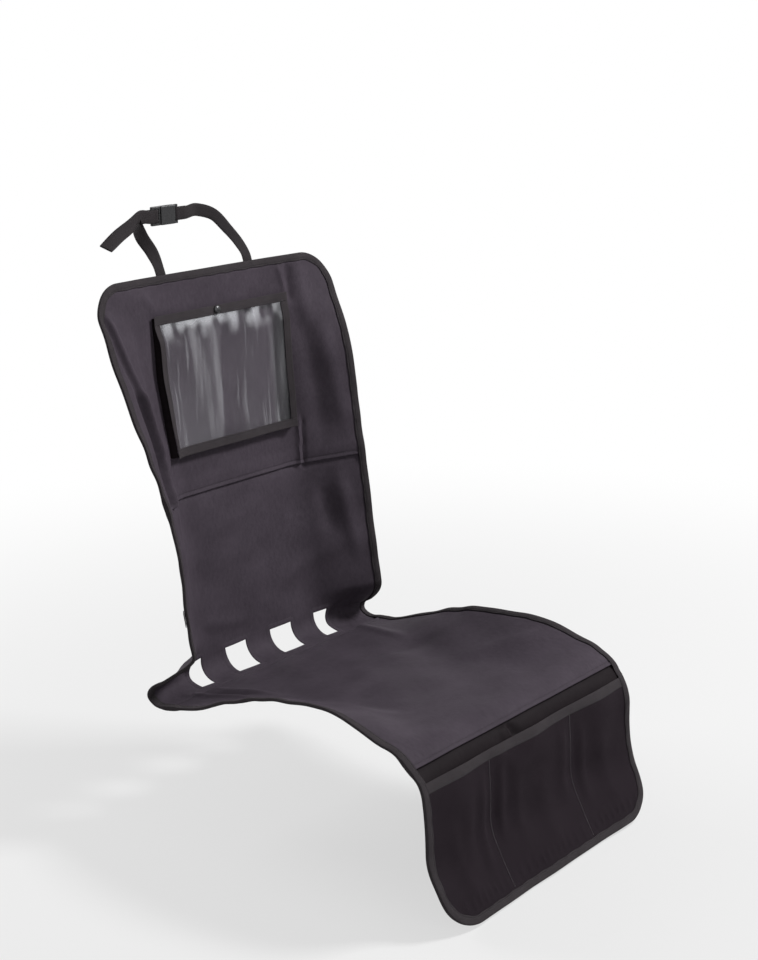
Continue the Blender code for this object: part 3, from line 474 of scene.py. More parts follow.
def beside_binding(u, s):
    """The ditch in the soft cloth just inside the binding, shallower round the corners."""
    top = TOP_CORNER_RADIUS
    foot = APRON_CORNER_RADIUS
    off_side = half_width(s) - np.abs(u) - BINDING_WIDTH - DITCH_WIDTH / 2
    off_end = s - BINDING_WIDTH - DITCH_WIDTH / 2
    at_side = smooth(s, ROUND_SHARE * top, top) * smooth(CLOTH_LENGTH - s, ROUND_SHARE * foot, foot)
    at_end = smooth(HALF - np.abs(u), ROUND_SHARE * top, top)
    side = at_side * np.exp(-((off_side / DITCH_WIDTH) ** 2))
    return DITCH_DEPTH * np.maximum(side, at_end * np.exp(-((off_end / DITCH_WIDTH) ** 2)))


def fabric(
    name, columns, rows, finish, height, thickness, edge=None, holes=(), full=None, press=None, lean=None
):
    """A piece of cloth: two layers over a grid of the flat cloth, joined all round and round each hole.

    edge is half its width at each row, full is the share of the thickness that is left near an edge, press is
    how deep thread pulls the face in, and lean is how far the piece is sewn on askew.
    """
    u, s = np.meshgrid(columns, rows)
    if edge is not None:
        u = drawn_in(u, s, columns, edge)
    h = height(u, s)
    half = thickness / 2 * (1.0 if full is None else full(u, s))
    pressed = 0.0 if press is None else press(u, s)
    placed = u if lean is None else u + lean(s)
    front = cloth(placed, s, h + half - pressed).reshape(-1, 3)
    rear = cloth(placed, s, h - half).reshape(-1, 3)
    count = len(columns)
    start = np.arange(len(rows) - 1)[:, None] * count + np.arange(count - 1)[None, :]
    middle_u = np.abs(columns[1:] + columns[:-1])[None, :] / 2
    middle_s = (rows[1:] + rows[:-1])[:, None] / 2
    kept = np.ones(start.shape, bool)
    for a, b, c, d in holes:
        kept &= ~((middle_u > a) & (middle_u < b) & (middle_s > c) & (middle_s < d))
    start = start[kept]
    layer = np.stack([start, start + count, start + count + 1, start + 1], -1)
    tail = layer.ravel()
    head = np.roll(layer, -1, axis=1).ravel()
    total = len(front)
    open_edge = ~np.isin(tail * total + head, head * total + tail)
    tail = tail[open_edge]
    head = head[open_edge]
    rim = np.stack([head, tail, tail + total, head + total], -1)
    faces = np.concatenate([layer, layer[:, ::-1] + total, rim])
    used, faces_at = np.unique(faces, return_inverse=True)
    points = np.concatenate([front, rear])[used]
    flat = np.stack([u.ravel(), s.ravel()], -1)
    flat = np.concatenate([flat, flat])[used]
    return piece(name, points, faces_at.reshape(faces.shape), flat, finish)


def rounded(distance, radius=0.0014):
    """The share of a cloth's thickness at a distance from its folded edge, at least a quarter."""
    t = 1 - np.clip(distance / radius, 0, 1)
    return np.maximum(np.sqrt(1 - t * t), 0.25)


def pulled_in(distance, depth=0.0006, width=0.0013):
    """The dent that a row of thread makes in soft cloth."""
    return depth * np.exp(-((distance / width) ** 2))


WINDOW_START = CREASE - 0.029
WINDOW_END = CREASE + 0.021
WINDOWS = ((0.028, 0.076, WINDOW_START, WINDOW_END), (0.130, 0.158, WINDOW_START, WINDOW_END))
WINDOW_HEM = 0.0085
MESH_TOP = FRONT + 0.0249
SEAM_THREAD = 0.0060
SEAM_LIP = 0.0009
LIP_WIDTH = 0.0038
HEM_RISE = 0.0005
HEM_FADE = 0.002
STRIP_RISE = 0.0020
UPPER_THREAD = BACK_SEAM - SEAM_THREAD
REAR_THREAD = REAR_SEAM + SEAM_THREAD
FRONT_THREAD = APRON_SEAM - SEAM_THREAD


def from_window(u, s, window):
    """The distance from an opening's rim, over the cloth outside it."""
    a, b, c, d = window
    off_u = np.maximum(np.maximum(a - np.abs(u), np.abs(u) - b), 0)
    off_s = np.maximum(np.maximum(c - s, s - d), 0)
    return np.hypot(off_u, off_s)


def nearest_window(u, s):
    return np.minimum(from_window(u, s, WINDOWS[0]), from_window(u, s, WINDOWS[1]))


def lip(distance):
    """How far a lapped panel's free edge stands off the one below it, at a distance inward from the edge."""
    return SEAM_LIP * (1 - smooth(distance, 0, LIP_WIDTH))


def groove(distance):
    """How far the panel below sinks beside that edge."""
    return SEAM_LIP * np.exp(-((distance / LIP_WIDTH) ** 2))


def upper_back_height(u, s):
    return LAP_LIFT * lap_raise(s, LAPS[0]) + lip(BACK_SEAM - s)


def lower_back_height(u, s):
    hem = HEM_RISE * (1 - smooth(nearest_window(u, s), WINDOW_HEM, WINDOW_HEM + HEM_FADE))
    lapped = LAP_LIFT * (lap_raise(s, LAPS[0]) + lap_raise(s, LAPS[1]))
    return hem - lapped - groove(s - BACK_SEAM) - groove(s - REAR_SEAM)


def seat_height(u, s):
    lapped = LAP_LIFT * (lap_raise(s, LAPS[1]) + lap_raise(s, LAPS[2]))
    return lapped + lip(s - REAR_SEAM) + lip(APRON_SEAM - s)


def apron_height(u, s):
    """The apron's own rise, with the tuck that shows in its bare strip above the mesh."""
    strip = pleat(u, s, *STRIP_PLEAT) * smooth(s, APRON_SEAM, APRON_SEAM + 0.010)
    strip = np.minimum(strip, STRIP_RISE) * (1 - smooth(s, MESH_TOP - 0.004, MESH_TOP + 0.008))
    return strip - LAP_LIFT * lap_raise(s, LAPS[2]) - groove(s - APRON_SEAM)


# Places where the cloth's grid has a row or a column of its own
GRID = 0.0031
EDGE_STEPS = (0.0003, 0.0008, 0.0015)
THREAD_STEPS = (-0.0017, -0.0008, 0.0, 0.0008, 0.0017)
DITCH_STEPS = (-0.0010, 0.0, 0.0006, 0.0014, 0.0026)
FLAP_FINE_FROM = 0.006
FLAP_FINE_TO = 0.018
corner_turns = np.linspace(0, math.pi / 2, 12)
top_rows = list(TOP_CORNER_RADIUS * (1 - np.cos(corner_turns)))
low_rows = list(CLOTH_LENGTH - APRON_CORNER_RADIUS * (1 - np.sin(corner_turns)))
ditch_columns = [side * (HALF - BINDING_WIDTH - k) for side in (-1, 1) for k in DITCH_STEPS]
ditch_rows = [BINDING_WIDTH + k for k in DITCH_STEPS]
flap_columns = list(np.arange(-HALF + FLAP_FINE_FROM, -FLAP_START - FLAP_FINE_TO, GRID / 2))
window_columns = [
    side * edge
    for side in (-1, 1)
    for near, far, _, _ in WINDOWS
    for k in (0.0, *EDGE_STEPS)
    for edge in (near - k, far + k)
]
window_rows = [edge for k in (0.0, *EDGE_STEPS) for edge in (WINDOW_START - k, WINDOW_END + k)]
hem_rows = [edge + k for edge in (WINDOW_START - WINDOW_HEM, WINDOW_END + WINDOW_HEM) for k in THREAD_STEPS]
upper_rows = [BACK_SEAM - k for k in EDGE_STEPS] + [UPPER_THREAD + k for k in THREAD_STEPS]
seat_rows = [edge for k in EDGE_STEPS for edge in (REAR_SEAM + k, APRON_SEAM - k)]
seat_rows += [thread + k for thread in (REAR_THREAD, FRONT_THREAD) for k in THREAD_STEPS]
panel_columns = lines(-HALF, HALF, GRID, ditch_columns + flap_columns)

upper_back = fabric(
    "upper_back_cloth",
    panel_columns,
    lines(0, BACK_SEAM, GRID, top_rows + ditch_rows + upper_rows),
    PANEL_CLOTH,
    upper_back_height,
    CLOTH_THICKNESS,
    edge=half_width,
    full=lambda u, s: rounded(BACK_SEAM - s),
    press=lambda u, s: pulled_in(s - UPPER_THREAD) + beside_binding(u, s),
)
lower_back = fabric(
    "lower_back_cloth",
    lines(-HALF, HALF, GRID, window_columns + ditch_columns + flap_columns),
    lines(LAPS[0][0], LAPS[1][1], GRID, window_rows + hem_rows),
    PANEL_CLOTH,
    lower_back_height,
    CLOTH_THICKNESS,
    edge=half_width,
    holes=WINDOWS,
    full=lambda u, s: rounded(nearest_window(u, s)),
    press=lambda u, s: pulled_in(nearest_window(u, s) - WINDOW_HEM) + beside_binding(u, s),
)
seat = fabric(
    "seat_cloth",
    panel_columns,
    lines(REAR_SEAM, APRON_SEAM, GRID, seat_rows),
    PANEL_CLOTH,
    seat_height,
    CLOTH_THICKNESS,
    edge=half_width,
    full=lambda u, s: np.minimum(rounded(s - REAR_SEAM), rounded(APRON_SEAM - s)),
    press=lambda u, s: pulled_in(s - REAR_THREAD) + pulled_in(s - FRONT_THREAD) + beside_binding(u, s),
)
apron = fabric(
    "apron_cloth",
    panel_columns,
    lines(LAPS[2][0], CLOTH_LENGTH, GRID, low_rows),
    APRON_CLOTH,
    apron_height,
    CLOTH_THICKNESS,
    edge=half_width,
)
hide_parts("upper_back_panel")
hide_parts("lower_back_panel")
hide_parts("seat_panel")
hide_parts("apron_panel")

# Seam thread: a matt polyester thread, a shade lighter than the cloth. One straight row holds each lap, and
# one row holds the turned hem round each of the four openings in the crease.
PLY_PITCH = 0.0007
THREAD_SINK = 0.0006
THREAD_RADIUS = 0.00028
STITCH_PITCH = 0.0034
STITCH_LENGTH = 0.0027
STITCH_SIDES = 5
ROW_SHORT = 0.002
WAY_STEP = 0.0005


def twisted(name, dark, light):
    """Sewing thread: two plies twisted round each other."""
    made = Finish(name, Roughness=0.62, Specular_IOR_Level=0.02)
    strand = made.part(made.flat(), "X") + made.part(made.flat(), "Y")
    ply = (strand * (2 * math.pi / PLY_PITCH)).sine()
    return made.wear(Base_Color=made.tint(ply * 0.5 + 0.5, dark, light), Normal=made.bump(ply, 0.00006, 0.8))


THREAD = twisted("seam thread", (0.040, 0.037, 0.041), (0.085, 0.080, 0.086))


def reach_along(path):
    """The distance along a path to each of its points."""
    return np.concatenate([[0.0], np.cumsum(np.linalg.norm(np.diff(path, axis=0), axis=1))])


def ring_faces(rings, around):
    """Faces of a closed sweep, with both of its ends."""
    faces = []
    for i in range(rings - 1):
        for j in range(around):
            k = (j + 1) % around
            faces.append((i * around + j, i * around + k, (i + 1) * around + k, (i + 1) * around + j))
    faces.append(tuple(range(around))[::-1])
    faces.append(tuple((rings - 1) * around + j for j in range(around)))
    return faces


def stitched(name, runs, surface, lean=None, thread=THREAD, radius=THREAD_RADIUS, facing=1):
    """Rows of stitches. A run is a list of flat points, and surface is the cloth's height under the thread.

    facing is 1 for thread on a piece's face, and -1 on its back.
    """
    centres = []
    ways = []
    for run in runs:
        run = np.asarray(run, float)
        reach = reach_along(run)
        count = max(1, int(reach[-1] / STITCH_PITCH))
        at = (np.arange(count) + 0.5) * reach[-1] / count
        middle, ahead, behind = (
            np.stack([np.interp(place, reach, run[:, k]) for k in (0, 1)], -1)
            for place in (at, at + WAY_STEP, at - WAY_STEP)
        )
        centres.append(middle)
        ways.append((ahead - behind) / np.linalg.norm(ahead - behind, axis=1, keepdims=True))
    centre_u, centre_s = np.concatenate(centres).T[:, :, None, None]
    way_u, way_s = np.concatenate(ways).T[:, :, None, None]
    along = STITCH_LENGTH * np.array([-0.5, -0.34, 0.34, 0.5])[:, None]
    lift = radius * np.array([-1.0, 0.45, 0.45, -1.0])[:, None]
    girth = radius * np.array([0.6, 1.0, 1.0, 0.6])[:, None]
    turn = np.linspace(0, 2 * math.pi, STITCH_SIDES + 1)[:-1]
    side = girth * np.cos(turn)
    u = centre_u + way_u * along - way_s * side
    s = centre_s + way_s * along + way_u * side
    placed = u if lean is None else u + lean(s)
    points = cloth(placed, s, surface(u, s) + facing * (lift + girth * np.sin(turn)))
    one = [face[::facing] for face in ring_faces(*side.shape)]
    faces = [tuple(first + k for k in face) for first in range(0, u.size, side.size) for face in one]
    flat = np.stack(np.broadcast_arrays(along, radius * turn), -1).reshape(-1, 2)
    return piece(name, points.reshape(-1, 3), faces, np.tile(flat, (len(u), 1)), thread)


def straight_run(s):
    """A row of thread across the whole cloth, between its bindings."""
    end = HALF - BINDING_WIDTH - ROW_SHORT
    return [(u, s) for u in np.linspace(-end, end, 60)]


def round_window(window, side):
    """The rounded path of a hem's thread about one opening."""
    a, b, c, d = window
    points = []
    for centre_u, centre_s, start in ((b, d, 0), (a, d, 90), (a, c, 180), (b, c, 270)):
        for turn in np.radians(np.linspace(start, start + 90, 6)):
            u = centre_u + WINDOW_HEM * math.cos(turn)
            points.append((side * u, centre_s + WINDOW_HEM * math.sin(turn)))
    return points + points[:1]


upper_stitches = stitched(
    "upper_back_stitches",
    [straight_run(UPPER_THREAD)],
    lambda u, s: upper_back_height(u, s) + PANEL_FRONT - THREAD_SINK,
)
seat_stitches = stitched(
    "seat_stitches",
    [straight_run(REAR_THREAD), straight_run(FRONT_THREAD)],
    lambda u, s: seat_height(u, s) + PANEL_FRONT - THREAD_SINK,
)
hem_stitches = stitched(
    "crease_hem_stitches",
    [round_window(window, side) for window in WINDOWS for side in (-1, 1)],
    lambda u, s: lower_back_height(u, s) + PANEL_FRONT - THREAD_SINK,
)

# Edge binding: ribbed tape folded over the raw edge all round, about 10 mm wide on either face, and sewn
# through with one row of thread near its inner edge. One length goes round the back, one round the seat.
TAPE_THICKNESS = 0.0010
BINDING_THREAD = 0.0022
MESH_THICKNESS = 0.0010
BINDING_JOIN = REAR_SEAM - LAP_SLOPE
MESH_CAUGHT = (MESH_TOP - 0.012, MESH_TOP - 0.002)
BINDING_GRID = 0.0035
BINDING_ROOT = BINDING_WIDTH - BINDING_THREAD
# What makes the sewn tape uneven: height and length of each wave along it
PUCKERS = ((0.00022, 0.0091), (0.00018, 0.0149))
EDGE_DRIFT = (0.0005, 0.037)


def ribbed(name, dark, light, rib=0.0013, rough=0.7):
    """Tape with fine ribs across it; its map holds the distance along it and across it."""
    made = Finish(name, Specular_IOR_Level=0.02)
    place = made.flat()
    wander = made.noise(place, 70, 2)
    ribs = ((made.part(place, "X") + wander * 0.0012) * (2 * math.pi / rib)).sine() * 0.5 + 0.5
    yarns = (made.part(place, "Y") * (2 * math.pi / 0.0009)).sine()
    fuzz = made.noise(place, 1900, 2)
    worn = made.noise(place, 45, 3)
    return made.wear(
        Base_Color=made.tint(ribs * 0.45 + fuzz * 0.5 + worn * 0.35 - 0.15, dark, light),
        Roughness=rough + 0.15 * fuzz,
        Normal=made.bump(ribs + yarns * 0.12 + fuzz * 0.25, 0.0002, 0.8),
    )


BINDING_TAPE = ribbed("binding tape", (0.021, 0.0182, 0.0198), (0.078, 0.0690, 0.0745))


def ringed(name, rings, flat, finish):
    """A closed piece through rings of points, with its faces turned outwards."""
    ring = rings[len(rings) // 2]
    ahead = rings[len(rings) // 2 + 1].mean(0) - ring.mean(0)
    spokes = ring - ring.mean(0)
    area = np.cross(spokes, np.roll(spokes, -1, axis=0)).sum(0)
    way = 1 if area @ ahead > 0 else -1
    faces = [face[::way] for face in ring_faces(*rings.shape[:2])]
    return piece(name, rings.reshape(-1, 3), faces, np.reshape(flat, (-1, 2)), finish)


def swept(name, path, section, finish):
    """A tape along a path on the flat cloth.

    A path row holds u, s and the inward direction. A section takes u, s and the distance along the path, and
    gives rows of inward distance and height.
    """
    path = np.asarray(path, float)
    reach = reach_along(path[:, :2])
    outlines = np.array([section(u, s, along) for (u, s, _, _), along in zip(path, reach)])
    u = path[:, 0, None] + path[:, 2, None] * outlines[..., 0]
    s = path[:, 1, None] + path[:, 3, None] * outlines[..., 0]
    side = np.array([reach_along(outline) for outline in outlines])
    flat = np.stack(np.broadcast_arrays(reach[:, None], side), -1)
    return ringed(name, cloth(u, s, outlines[..., 1]), flat, finish)


def binding_reach(s):
    """How far the binding's two faces stand from the middle of the cloth."""
    raised = LAP_LIFT * sum(lap_raise(s, lap) for lap in LAPS)
    plain = CLOTH_THICKNESS / 2 + CLEARANCE
    mesh_room = (MESH_THICKNESS + CLEARANCE) * smooth(s, *MESH_CAUGHT)
    return plain + max(raised, float(mesh_room)), plain + raised


def wave_along(along, height, length):
    return height * math.sin(along * 2 * math.pi / length)


def binding_section(u, s, along):
    """The folded tape's outline, from its front edge round the cloth's edge and back along its inside."""
    front, rear = binding_reach(s)
    full = TAPE_THICKNESS
    inner = -CLEARANCE
    outer = inner - full
    thread = BINDING_ROOT
    pucker = sum(wave_along(along, *row) for row in PUCKERS)
    edge = BINDING_WIDTH + wave_along(along, *EDGE_DRIFT)
    return [
        (edge, front),
        (edge, front + full * 0.75),
        (edge - 0.0004, front + full),
        (thread + 0.0009, front + full * 1.05 + pucker),
        (thread, front + full * 0.62),
        (thread - 0.0009, front + full * 1.08 + pucker),
        (thread - 0.0030, front + full * 1.15 + pucker),
        (0.0018, front + full),
        (0.0004, front + full * 0.80),
        (outer + 0.0003, front + full * 0.30),
        (outer, front * 0.5),
        (outer, -rear * 0.5),
        (outer + 0.0003, -rear - full * 0.30),
        (0.0004, -rear - full * 0.80),
        (0.0018, -rear - full),
        (thread, -rear - full * 0.9),
        (edge - 0.0004, -rear - full),
        (edge, -rear - full * 0.75),
        (edge, -rear),
        (inner, -rear),
        (inner, front),
    ]


def side_path(side, start, end):
    """Rows down one side of the cloth, between its corners."""
    first = max(start, TOP_CORNER_RADIUS)
    last = min(end, CLOTH_LENGTH - APRON_CORNER_RADIUS)
    exact = [s for lap in LAPS for s in lap] + list(MESH_CAUGHT)
    return [(side * HALF, s, -side, 0) for s in lines(first, last, BINDING_GRID, exact)]


def corner_path(side, radius, at_top):
    """A rounded corner, from the side of the cloth to its end."""
    centre_u = side * (HALF - radius)
    centre_s = radius if at_top else CLOTH_LENGTH - radius
    rows = []
    for turn in np.linspace(0, math.pi / 2, 26)[1:]:
        out_u = side * math.cos(turn)
        out_s = math.sin(turn) * (-1 if at_top else 1)
        rows.append((centre_u + out_u * radius, centre_s + out_s * radius, -out_u, -out_s))
    return rows


def end_path(radius, s, inward):
    """Rows along an end of the cloth, between its corners."""
    return [(u, s, 0, inward) for u in lines(-HALF + radius, HALF - radius, BINDING_GRID)][1:-1]


back_path = (
    side_path(-1, 0, BINDING_JOIN - CLEARANCE)[::-1]
    + corner_path(-1, TOP_CORNER_RADIUS, True)
    + end_path(TOP_CORNER_RADIUS, 0, 1)
    + corner_path(1, TOP_CORNER_RADIUS, True)[::-1]
    + side_path(1, 0, BINDING_JOIN - CLEARANCE)
)
seat_path = (
    side_path(-1, BINDING_JOIN, CLOTH_LENGTH)
    + corner_path(-1, APRON_CORNER_RADIUS, False)
    + end_path(APRON_CORNER_RADIUS, CLOTH_LENGTH, -1)
    + corner_path(1, APRON_CORNER_RADIUS, False)[::-1]
    + side_path(1, BINDING_JOIN, CLOTH_LENGTH)[::-1]
)


def binding_face(u, s):
    return np.vectorize(lambda at: binding_reach(at)[0])(s) + TAPE_THICKNESS * 0.75


def binding_run(path):
    return [(u + in_u * BINDING_ROOT, s + in_s * BINDING_ROOT) for u, s, in_u, in_s in path]


back_tape = swept("back_edge_tape", back_path, binding_section, BINDING_TAPE)
seat_tape = swept("seat_edge_tape", seat_path, binding_section, BINDING_TAPE)
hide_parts("back_binding")
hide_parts("seat_binding")
edge_stitches = stitched(
    "edge_tape_stitches",
    [binding_run(back_path), binding_run(seat_path)],
    binding_face,
)

# Tablet pocket: a clear vinyl front in a frame of the same tape, on a cloth gusset that stands off the back.
# It is sewn on slightly askew. Its top edge is left open as a mouth, which a press stud closes in the middle.
POCKET_HALF = 0.145
POCKET_TOP = 0.0565
POCKET_END = POCKET_TOP + 0.212
POCKET_DEPTH = 0.012
POCKET_MOUTH = 0.0052
POCKET_LEAN = (0.010, -0.005)
POCKET_GRID = 0.004
MOUTH_SPREAD = 0.045
MOUTH_ARCH = 0.0022
BAND_WIDTH = 0.0135
BAND_ROUND = 0.0008
BAND_THREAD = 0.0026
BAND_ROOT = BAND_WIDTH - BAND_THREAD
FILM_THICKNESS = 0.0006
FILM_MARGIN = 0.0025
FILM_SWELLS = ((0.0009, 38, -21, 0.5), (0.0006, 61, 35, 0), (0.0005, 17, 74, 1.1))
GUSSET_THICKNESS = 0.0010
GUSSET_BELLY = 0.0006
GUSSET_STEPS = 4


def pocket_lean(s):
    """How far the pocket's rows stand to the right of where a straight pocket has them."""
    top, foot = POCKET_LEAN
    return top + (foot - top) * (s - POCKET_TOP) / (POCKET_END - POCKET_TOP)


def pocket_depth(u, s):
    """How far the pocket stands off the panel, least at its mouth on either side of the stud."""
    arch = MOUTH_ARCH * np.sin(np.pi * np.clip(np.abs(u) / POCKET_HALF, 0, 1)) ** 2
    at_mouth = POCKET_MOUTH + arch
    below = smooth(s, POCKET_TOP + BAND_WIDTH, POCKET_TOP + MOUTH_SPREAD)
    return at_mouth + (POCKET_DEPTH - at_mouth) * below


def film_wave(u, s):
    """The vinyl's own soft waves, which die out under its frame."""
    inside = smooth(POCKET_HALF - np.abs(u), BAND_WIDTH, BAND_WIDTH + 0.03)
    inside = inside * smooth(s, POCKET_TOP + BAND_WIDTH, POCKET_TOP + 0.05)
    inside = inside * smooth(POCKET_END - s, BAND_WIDTH, 0.04)
    return inside * swells(u, s, FILM_SWELLS)


def film_height(u, s):
    return PANEL_FRONT + pocket_depth(u, s) + FILM_THICKNESS / 2 + film_wave(u, s)


def band_height(u, s):
    return PANEL_FRONT + pocket_depth(u, s) + FILM_THICKNESS + CLEARANCE + TAPE_THICKNESS / 2


def band_thread_off(u, s):
    """The distance from the row of thread that runs round inside the frame's inner edge."""
    from_edge = (POCKET_HALF - np.abs(u), s - POCKET_TOP, POCKET_END - s)
    return np.minimum.reduce([np.abs(distance - BAND_ROOT) for distance in from_edge])


# The film's near-white colour shows only as far as its alpha rises. That is painted reflection, in faint
# streaks, a glare near the mouth and a broad diagonal sweep. The fine scuff noise adds real scuffing to it.
VINYL = Finish("clear film", IOR=1.5, Specular_IOR_Level=0.1)
sheet_place = VINYL.flat()
drop = VINYL.part(sheet_place, "Y")
broad = VINYL.noise(VINYL.turned(sheet_place, 0.05, (1, 0.10, 1)), 34, 2)
fine = VINYL.noise(VINYL.turned(sheet_place, -0.06, (1, 0.07, 1)), 120, 2)
ripple = VINYL.noise(VINYL.turned(sheet_place, 0.4, (1, 0.6, 1)), 30, 1)
sweep = VINYL.noise(VINYL.turned(sheet_place, 0.35, (1, 0.25, 1)), 9, 1)
scuff = VINYL.noise(sheet_place, 900, 2)
near_mouth = 1 - (drop + broad * 0.03).between(POCKET_TOP + 0.028, POCKET_TOP + 0.066)
# Painted reflection: streaks down the film, and painted glare near its mouth.
painted_reflection_streaks = broad.between(0.52, 0.74) * 0.09 + fine.between(0.58, 0.74) * 0.07
painted_mouth_glare = ripple.between(0.40, 0.58) * near_mouth * 0.30
VINYL.wear(
    Base_Color=VINYL.tint(broad, (0.66, 0.67, 0.72), (0.92, 0.93, 0.96)),
    Alpha=0.012 + painted_reflection_streaks + painted_mouth_glare + 0.03 * sweep.between(0.42, 0.68) + 0.01 * scuff,
    Roughness=0.05 + 0.10 * scuff,
    Normal=VINYL.bump(broad + ripple * 0.4, 0.0012, 0.35),
)
film = fabric(
    "pocket_film",
    lines(-POCKET_HALF + FILM_MARGIN, POCKET_HALF - FILM_MARGIN, POCKET_GRID),
    lines(POCKET_TOP + FILM_MARGIN, POCKET_END - FILM_MARGIN, POCKET_GRID),
    VINYL,
    film_height,
    FILM_THICKNESS,
    lean=pocket_lean,
)
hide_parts("tablet_window")


def band(name, node, columns, rows):
    """One side of the pocket's frame of tape."""
    low_u, high_u = columns[0], columns[-1]
    low_s, high_s = rows[0], rows[-1]

    def full(u, s):
        off = np.minimum(np.minimum(u - low_u, high_u - u), np.minimum(s - low_s, high_s - s))
        return rounded(off, BAND_ROUND)

    made = fabric(
        name,
        columns,
        rows,
        BINDING_TAPE,
        band_height,
        TAPE_THICKNESS,
        full=full,
        press=lambda u, s: pulled_in(band_thread_off(u, s), 0.0003, 0.0008),
        lean=pocket_lean,
    )
    if high_s - low_s > high_u - low_u:
        across_first = made.data.uv_layers["flat"].data
        values = np.empty(len(across_first) * 2, np.float32)
        across_first.foreach_get("uv", values)
        across_first.foreach_set("uv", values.reshape(-1, 2)[:, ::-1].ravel())
    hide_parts(node)
    return made


band_steps = (0.0003, BAND_ROUND)
side_marks = [BAND_WIDTH - k for k in band_steps] + [BAND_ROOT + k for k in (-0.0009, 0, 0.0009)]
ends = [side * (POCKET_HALF - k) for side in (-1, 1) for k in band_steps]
whole = lines(-POCKET_HALF, POCKET_HALF, POCKET_GRID, ends)
edge_across = lines(0, BAND_WIDTH, 0.0022, [*side_marks, *band_steps])
upright = lines(POCKET_TOP + BAND_WIDTH + CLEARANCE, POCKET_END - BAND_WIDTH - CLEARANCE, POCKET_GRID)
bands = [
    band("pocket_top_tape", "pocket_top_band", whole, POCKET_TOP + edge_across),
    band("pocket_bottom_tape", "pocket_bottom_band", whole, (POCKET_END - edge_across)[::-1]),
    band("pocket_left_tape", "pocket_left_band", -POCKET_HALF + edge_across, upright),
    band("pocket_right_tape", "pocket_right_band", (POCKET_HALF - edge_across)[::-1], upright),
]


def gusset_section(u, s, along):
    """The gusset's wall, from the panel to the film, which bellies outwards."""
    foot = PANEL_FRONT + CLEARANCE
    top = PANEL_FRONT + float(pocket_depth(u, s)) - CLEARANCE
    steps = range(GUSSET_STEPS + 1)
    bellies = [GUSSET_BELLY * math.sin(math.pi * k / GUSSET_STEPS) for k in steps]
    heights = [foot + (top - foot) * k / GUSSET_STEPS for k in steps]
    outer = [(FILM_MARGIN - belly, height) for belly, height in zip(bellies, heights)]
    return outer + [(inward + GUSSET_THICKNESS, height) for inward, height in outer[::-1]]


def leaned(path):
    return [(u + float(pocket_lean(s)), s, in_u, in_s) for u, s, in_u, in_s in path]


upright_rows = lines(POCKET_TOP + FILM_MARGIN, POCKET_END, POCKET_GRID)[:-1]
bottom_columns = lines(-POCKET_HALF, POCKET_HALF, POCKET_GRID)[1:-1]
gusset_path = (
    [(-POCKET_HALF, s, 1, 0) for s in upright_rows]
    + [(-POCKET_HALF, POCKET_END, 1, -1)]
    + [(u, POCKET_END, 0, -1) for u in bottom_columns]
    + [(POCKET_HALF, POCKET_END, -1, -1)]
    + [(POCKET_HALF, s, -1, 0) for s in upright_rows[::-1]]
)
gusset = swept("pocket_gusset_cloth", leaned(gusset_path), gusset_section, APRON_CLOTH)
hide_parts("pocket_gusset")

sewn_top = POCKET_TOP + BAND_ROOT
sewn_end = POCKET_END - BAND_ROOT
aside = POCKET_HALF - BAND_ROOT
sewn_corners = [(-aside, sewn_top), (aside, sewn_top), (aside, sewn_end), (-aside, sewn_end)]
pocket_stitches = stitched(
    "pocket_stitches",
    [sewn_corners + sewn_corners[:1]],
    lambda u, s: band_height(u, s) + TAPE_THICKNESS / 2 - 0.0003,
    lean=pocket_lean,
)

# Press stud: four stamped metal parts with a glossy dark plating. The domed cap and its socket grip the top
# band of the pocket between them, and the stud and its post grip the back panel, so that the mouth shuts.
SNAP_METAL = Finish("snap metal", Metallic=0.85, Coat_Weight=0.5, Coat_Roughness=0.26)
brushed = SNAP_METAL.noise(SNAP_METAL.flat(), 900, 3)
SNAP_METAL.wear(
    Base_Color=SNAP_METAL.tint(brushed, (0.010, 0.010, 0.011), (0.055, 0.054, 0.058)),
    Roughness=0.26 + 0.14 * brushed,
    Normal=SNAP_METAL.bump(brushed, 0.00005, 0.3),
)
CAP_RADIUS = 0.0066
CAP_HEIGHT = 0.0044
CAP_SIDES = 48

band_front = float(band_height(0.0, SNAP_FROM_TOP)) + TAPE_THICKNESS / 2 + CLEARANCE
skirt = [(CAP_RADIUS * 0.93, band_front), (CAP_RADIUS * 0.99, band_front + 0.0001)]
crown = [
    (CAP_RADIUS * math.cos(turn), band_front + CAP_HEIGHT * (0.22 + 0.78 * math.sin(turn)))
    for turn in np.radians(np.linspace(0, 86, 14))
]
cap_radius, cap_height = np.array(skirt + crown).T[:, :, None]
snap_base = cloth(0.0, SNAP_FROM_TOP)
snap_up = cloth(0.0, SNAP_FROM_TOP, 0.01) - snap_base
snap_up /= np.linalg.norm(snap_up)
snap_right = np.array([1.0, 0.0, 0.0])
turn = np.linspace(0, 2 * math.pi, CAP_SIDES, endpoint=False)
cap_map = np.stack([cap_radius * np.cos(turn), cap_radius * np.sin(turn)], -1)
cap_rings = snap_base + snap_up * cap_height[..., None]
cap_rings = cap_rings + snap_right * cap_map[..., :1] + np.cross(snap_up, snap_right) * cap_map[..., 1:]
cap = ringed("snap_dome", cap_rings, cap_map, SNAP_METAL)
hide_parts("snap_cap")


def refinish(nodes, finish):
    """Gives a finish to solids that keep their own shape."""
    for name in nodes:
        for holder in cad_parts[name].material_slots:
            holder.material = finish.owner


refinish(("snap_socket", "snap_stud", "snap_post"), SNAP_METAL)

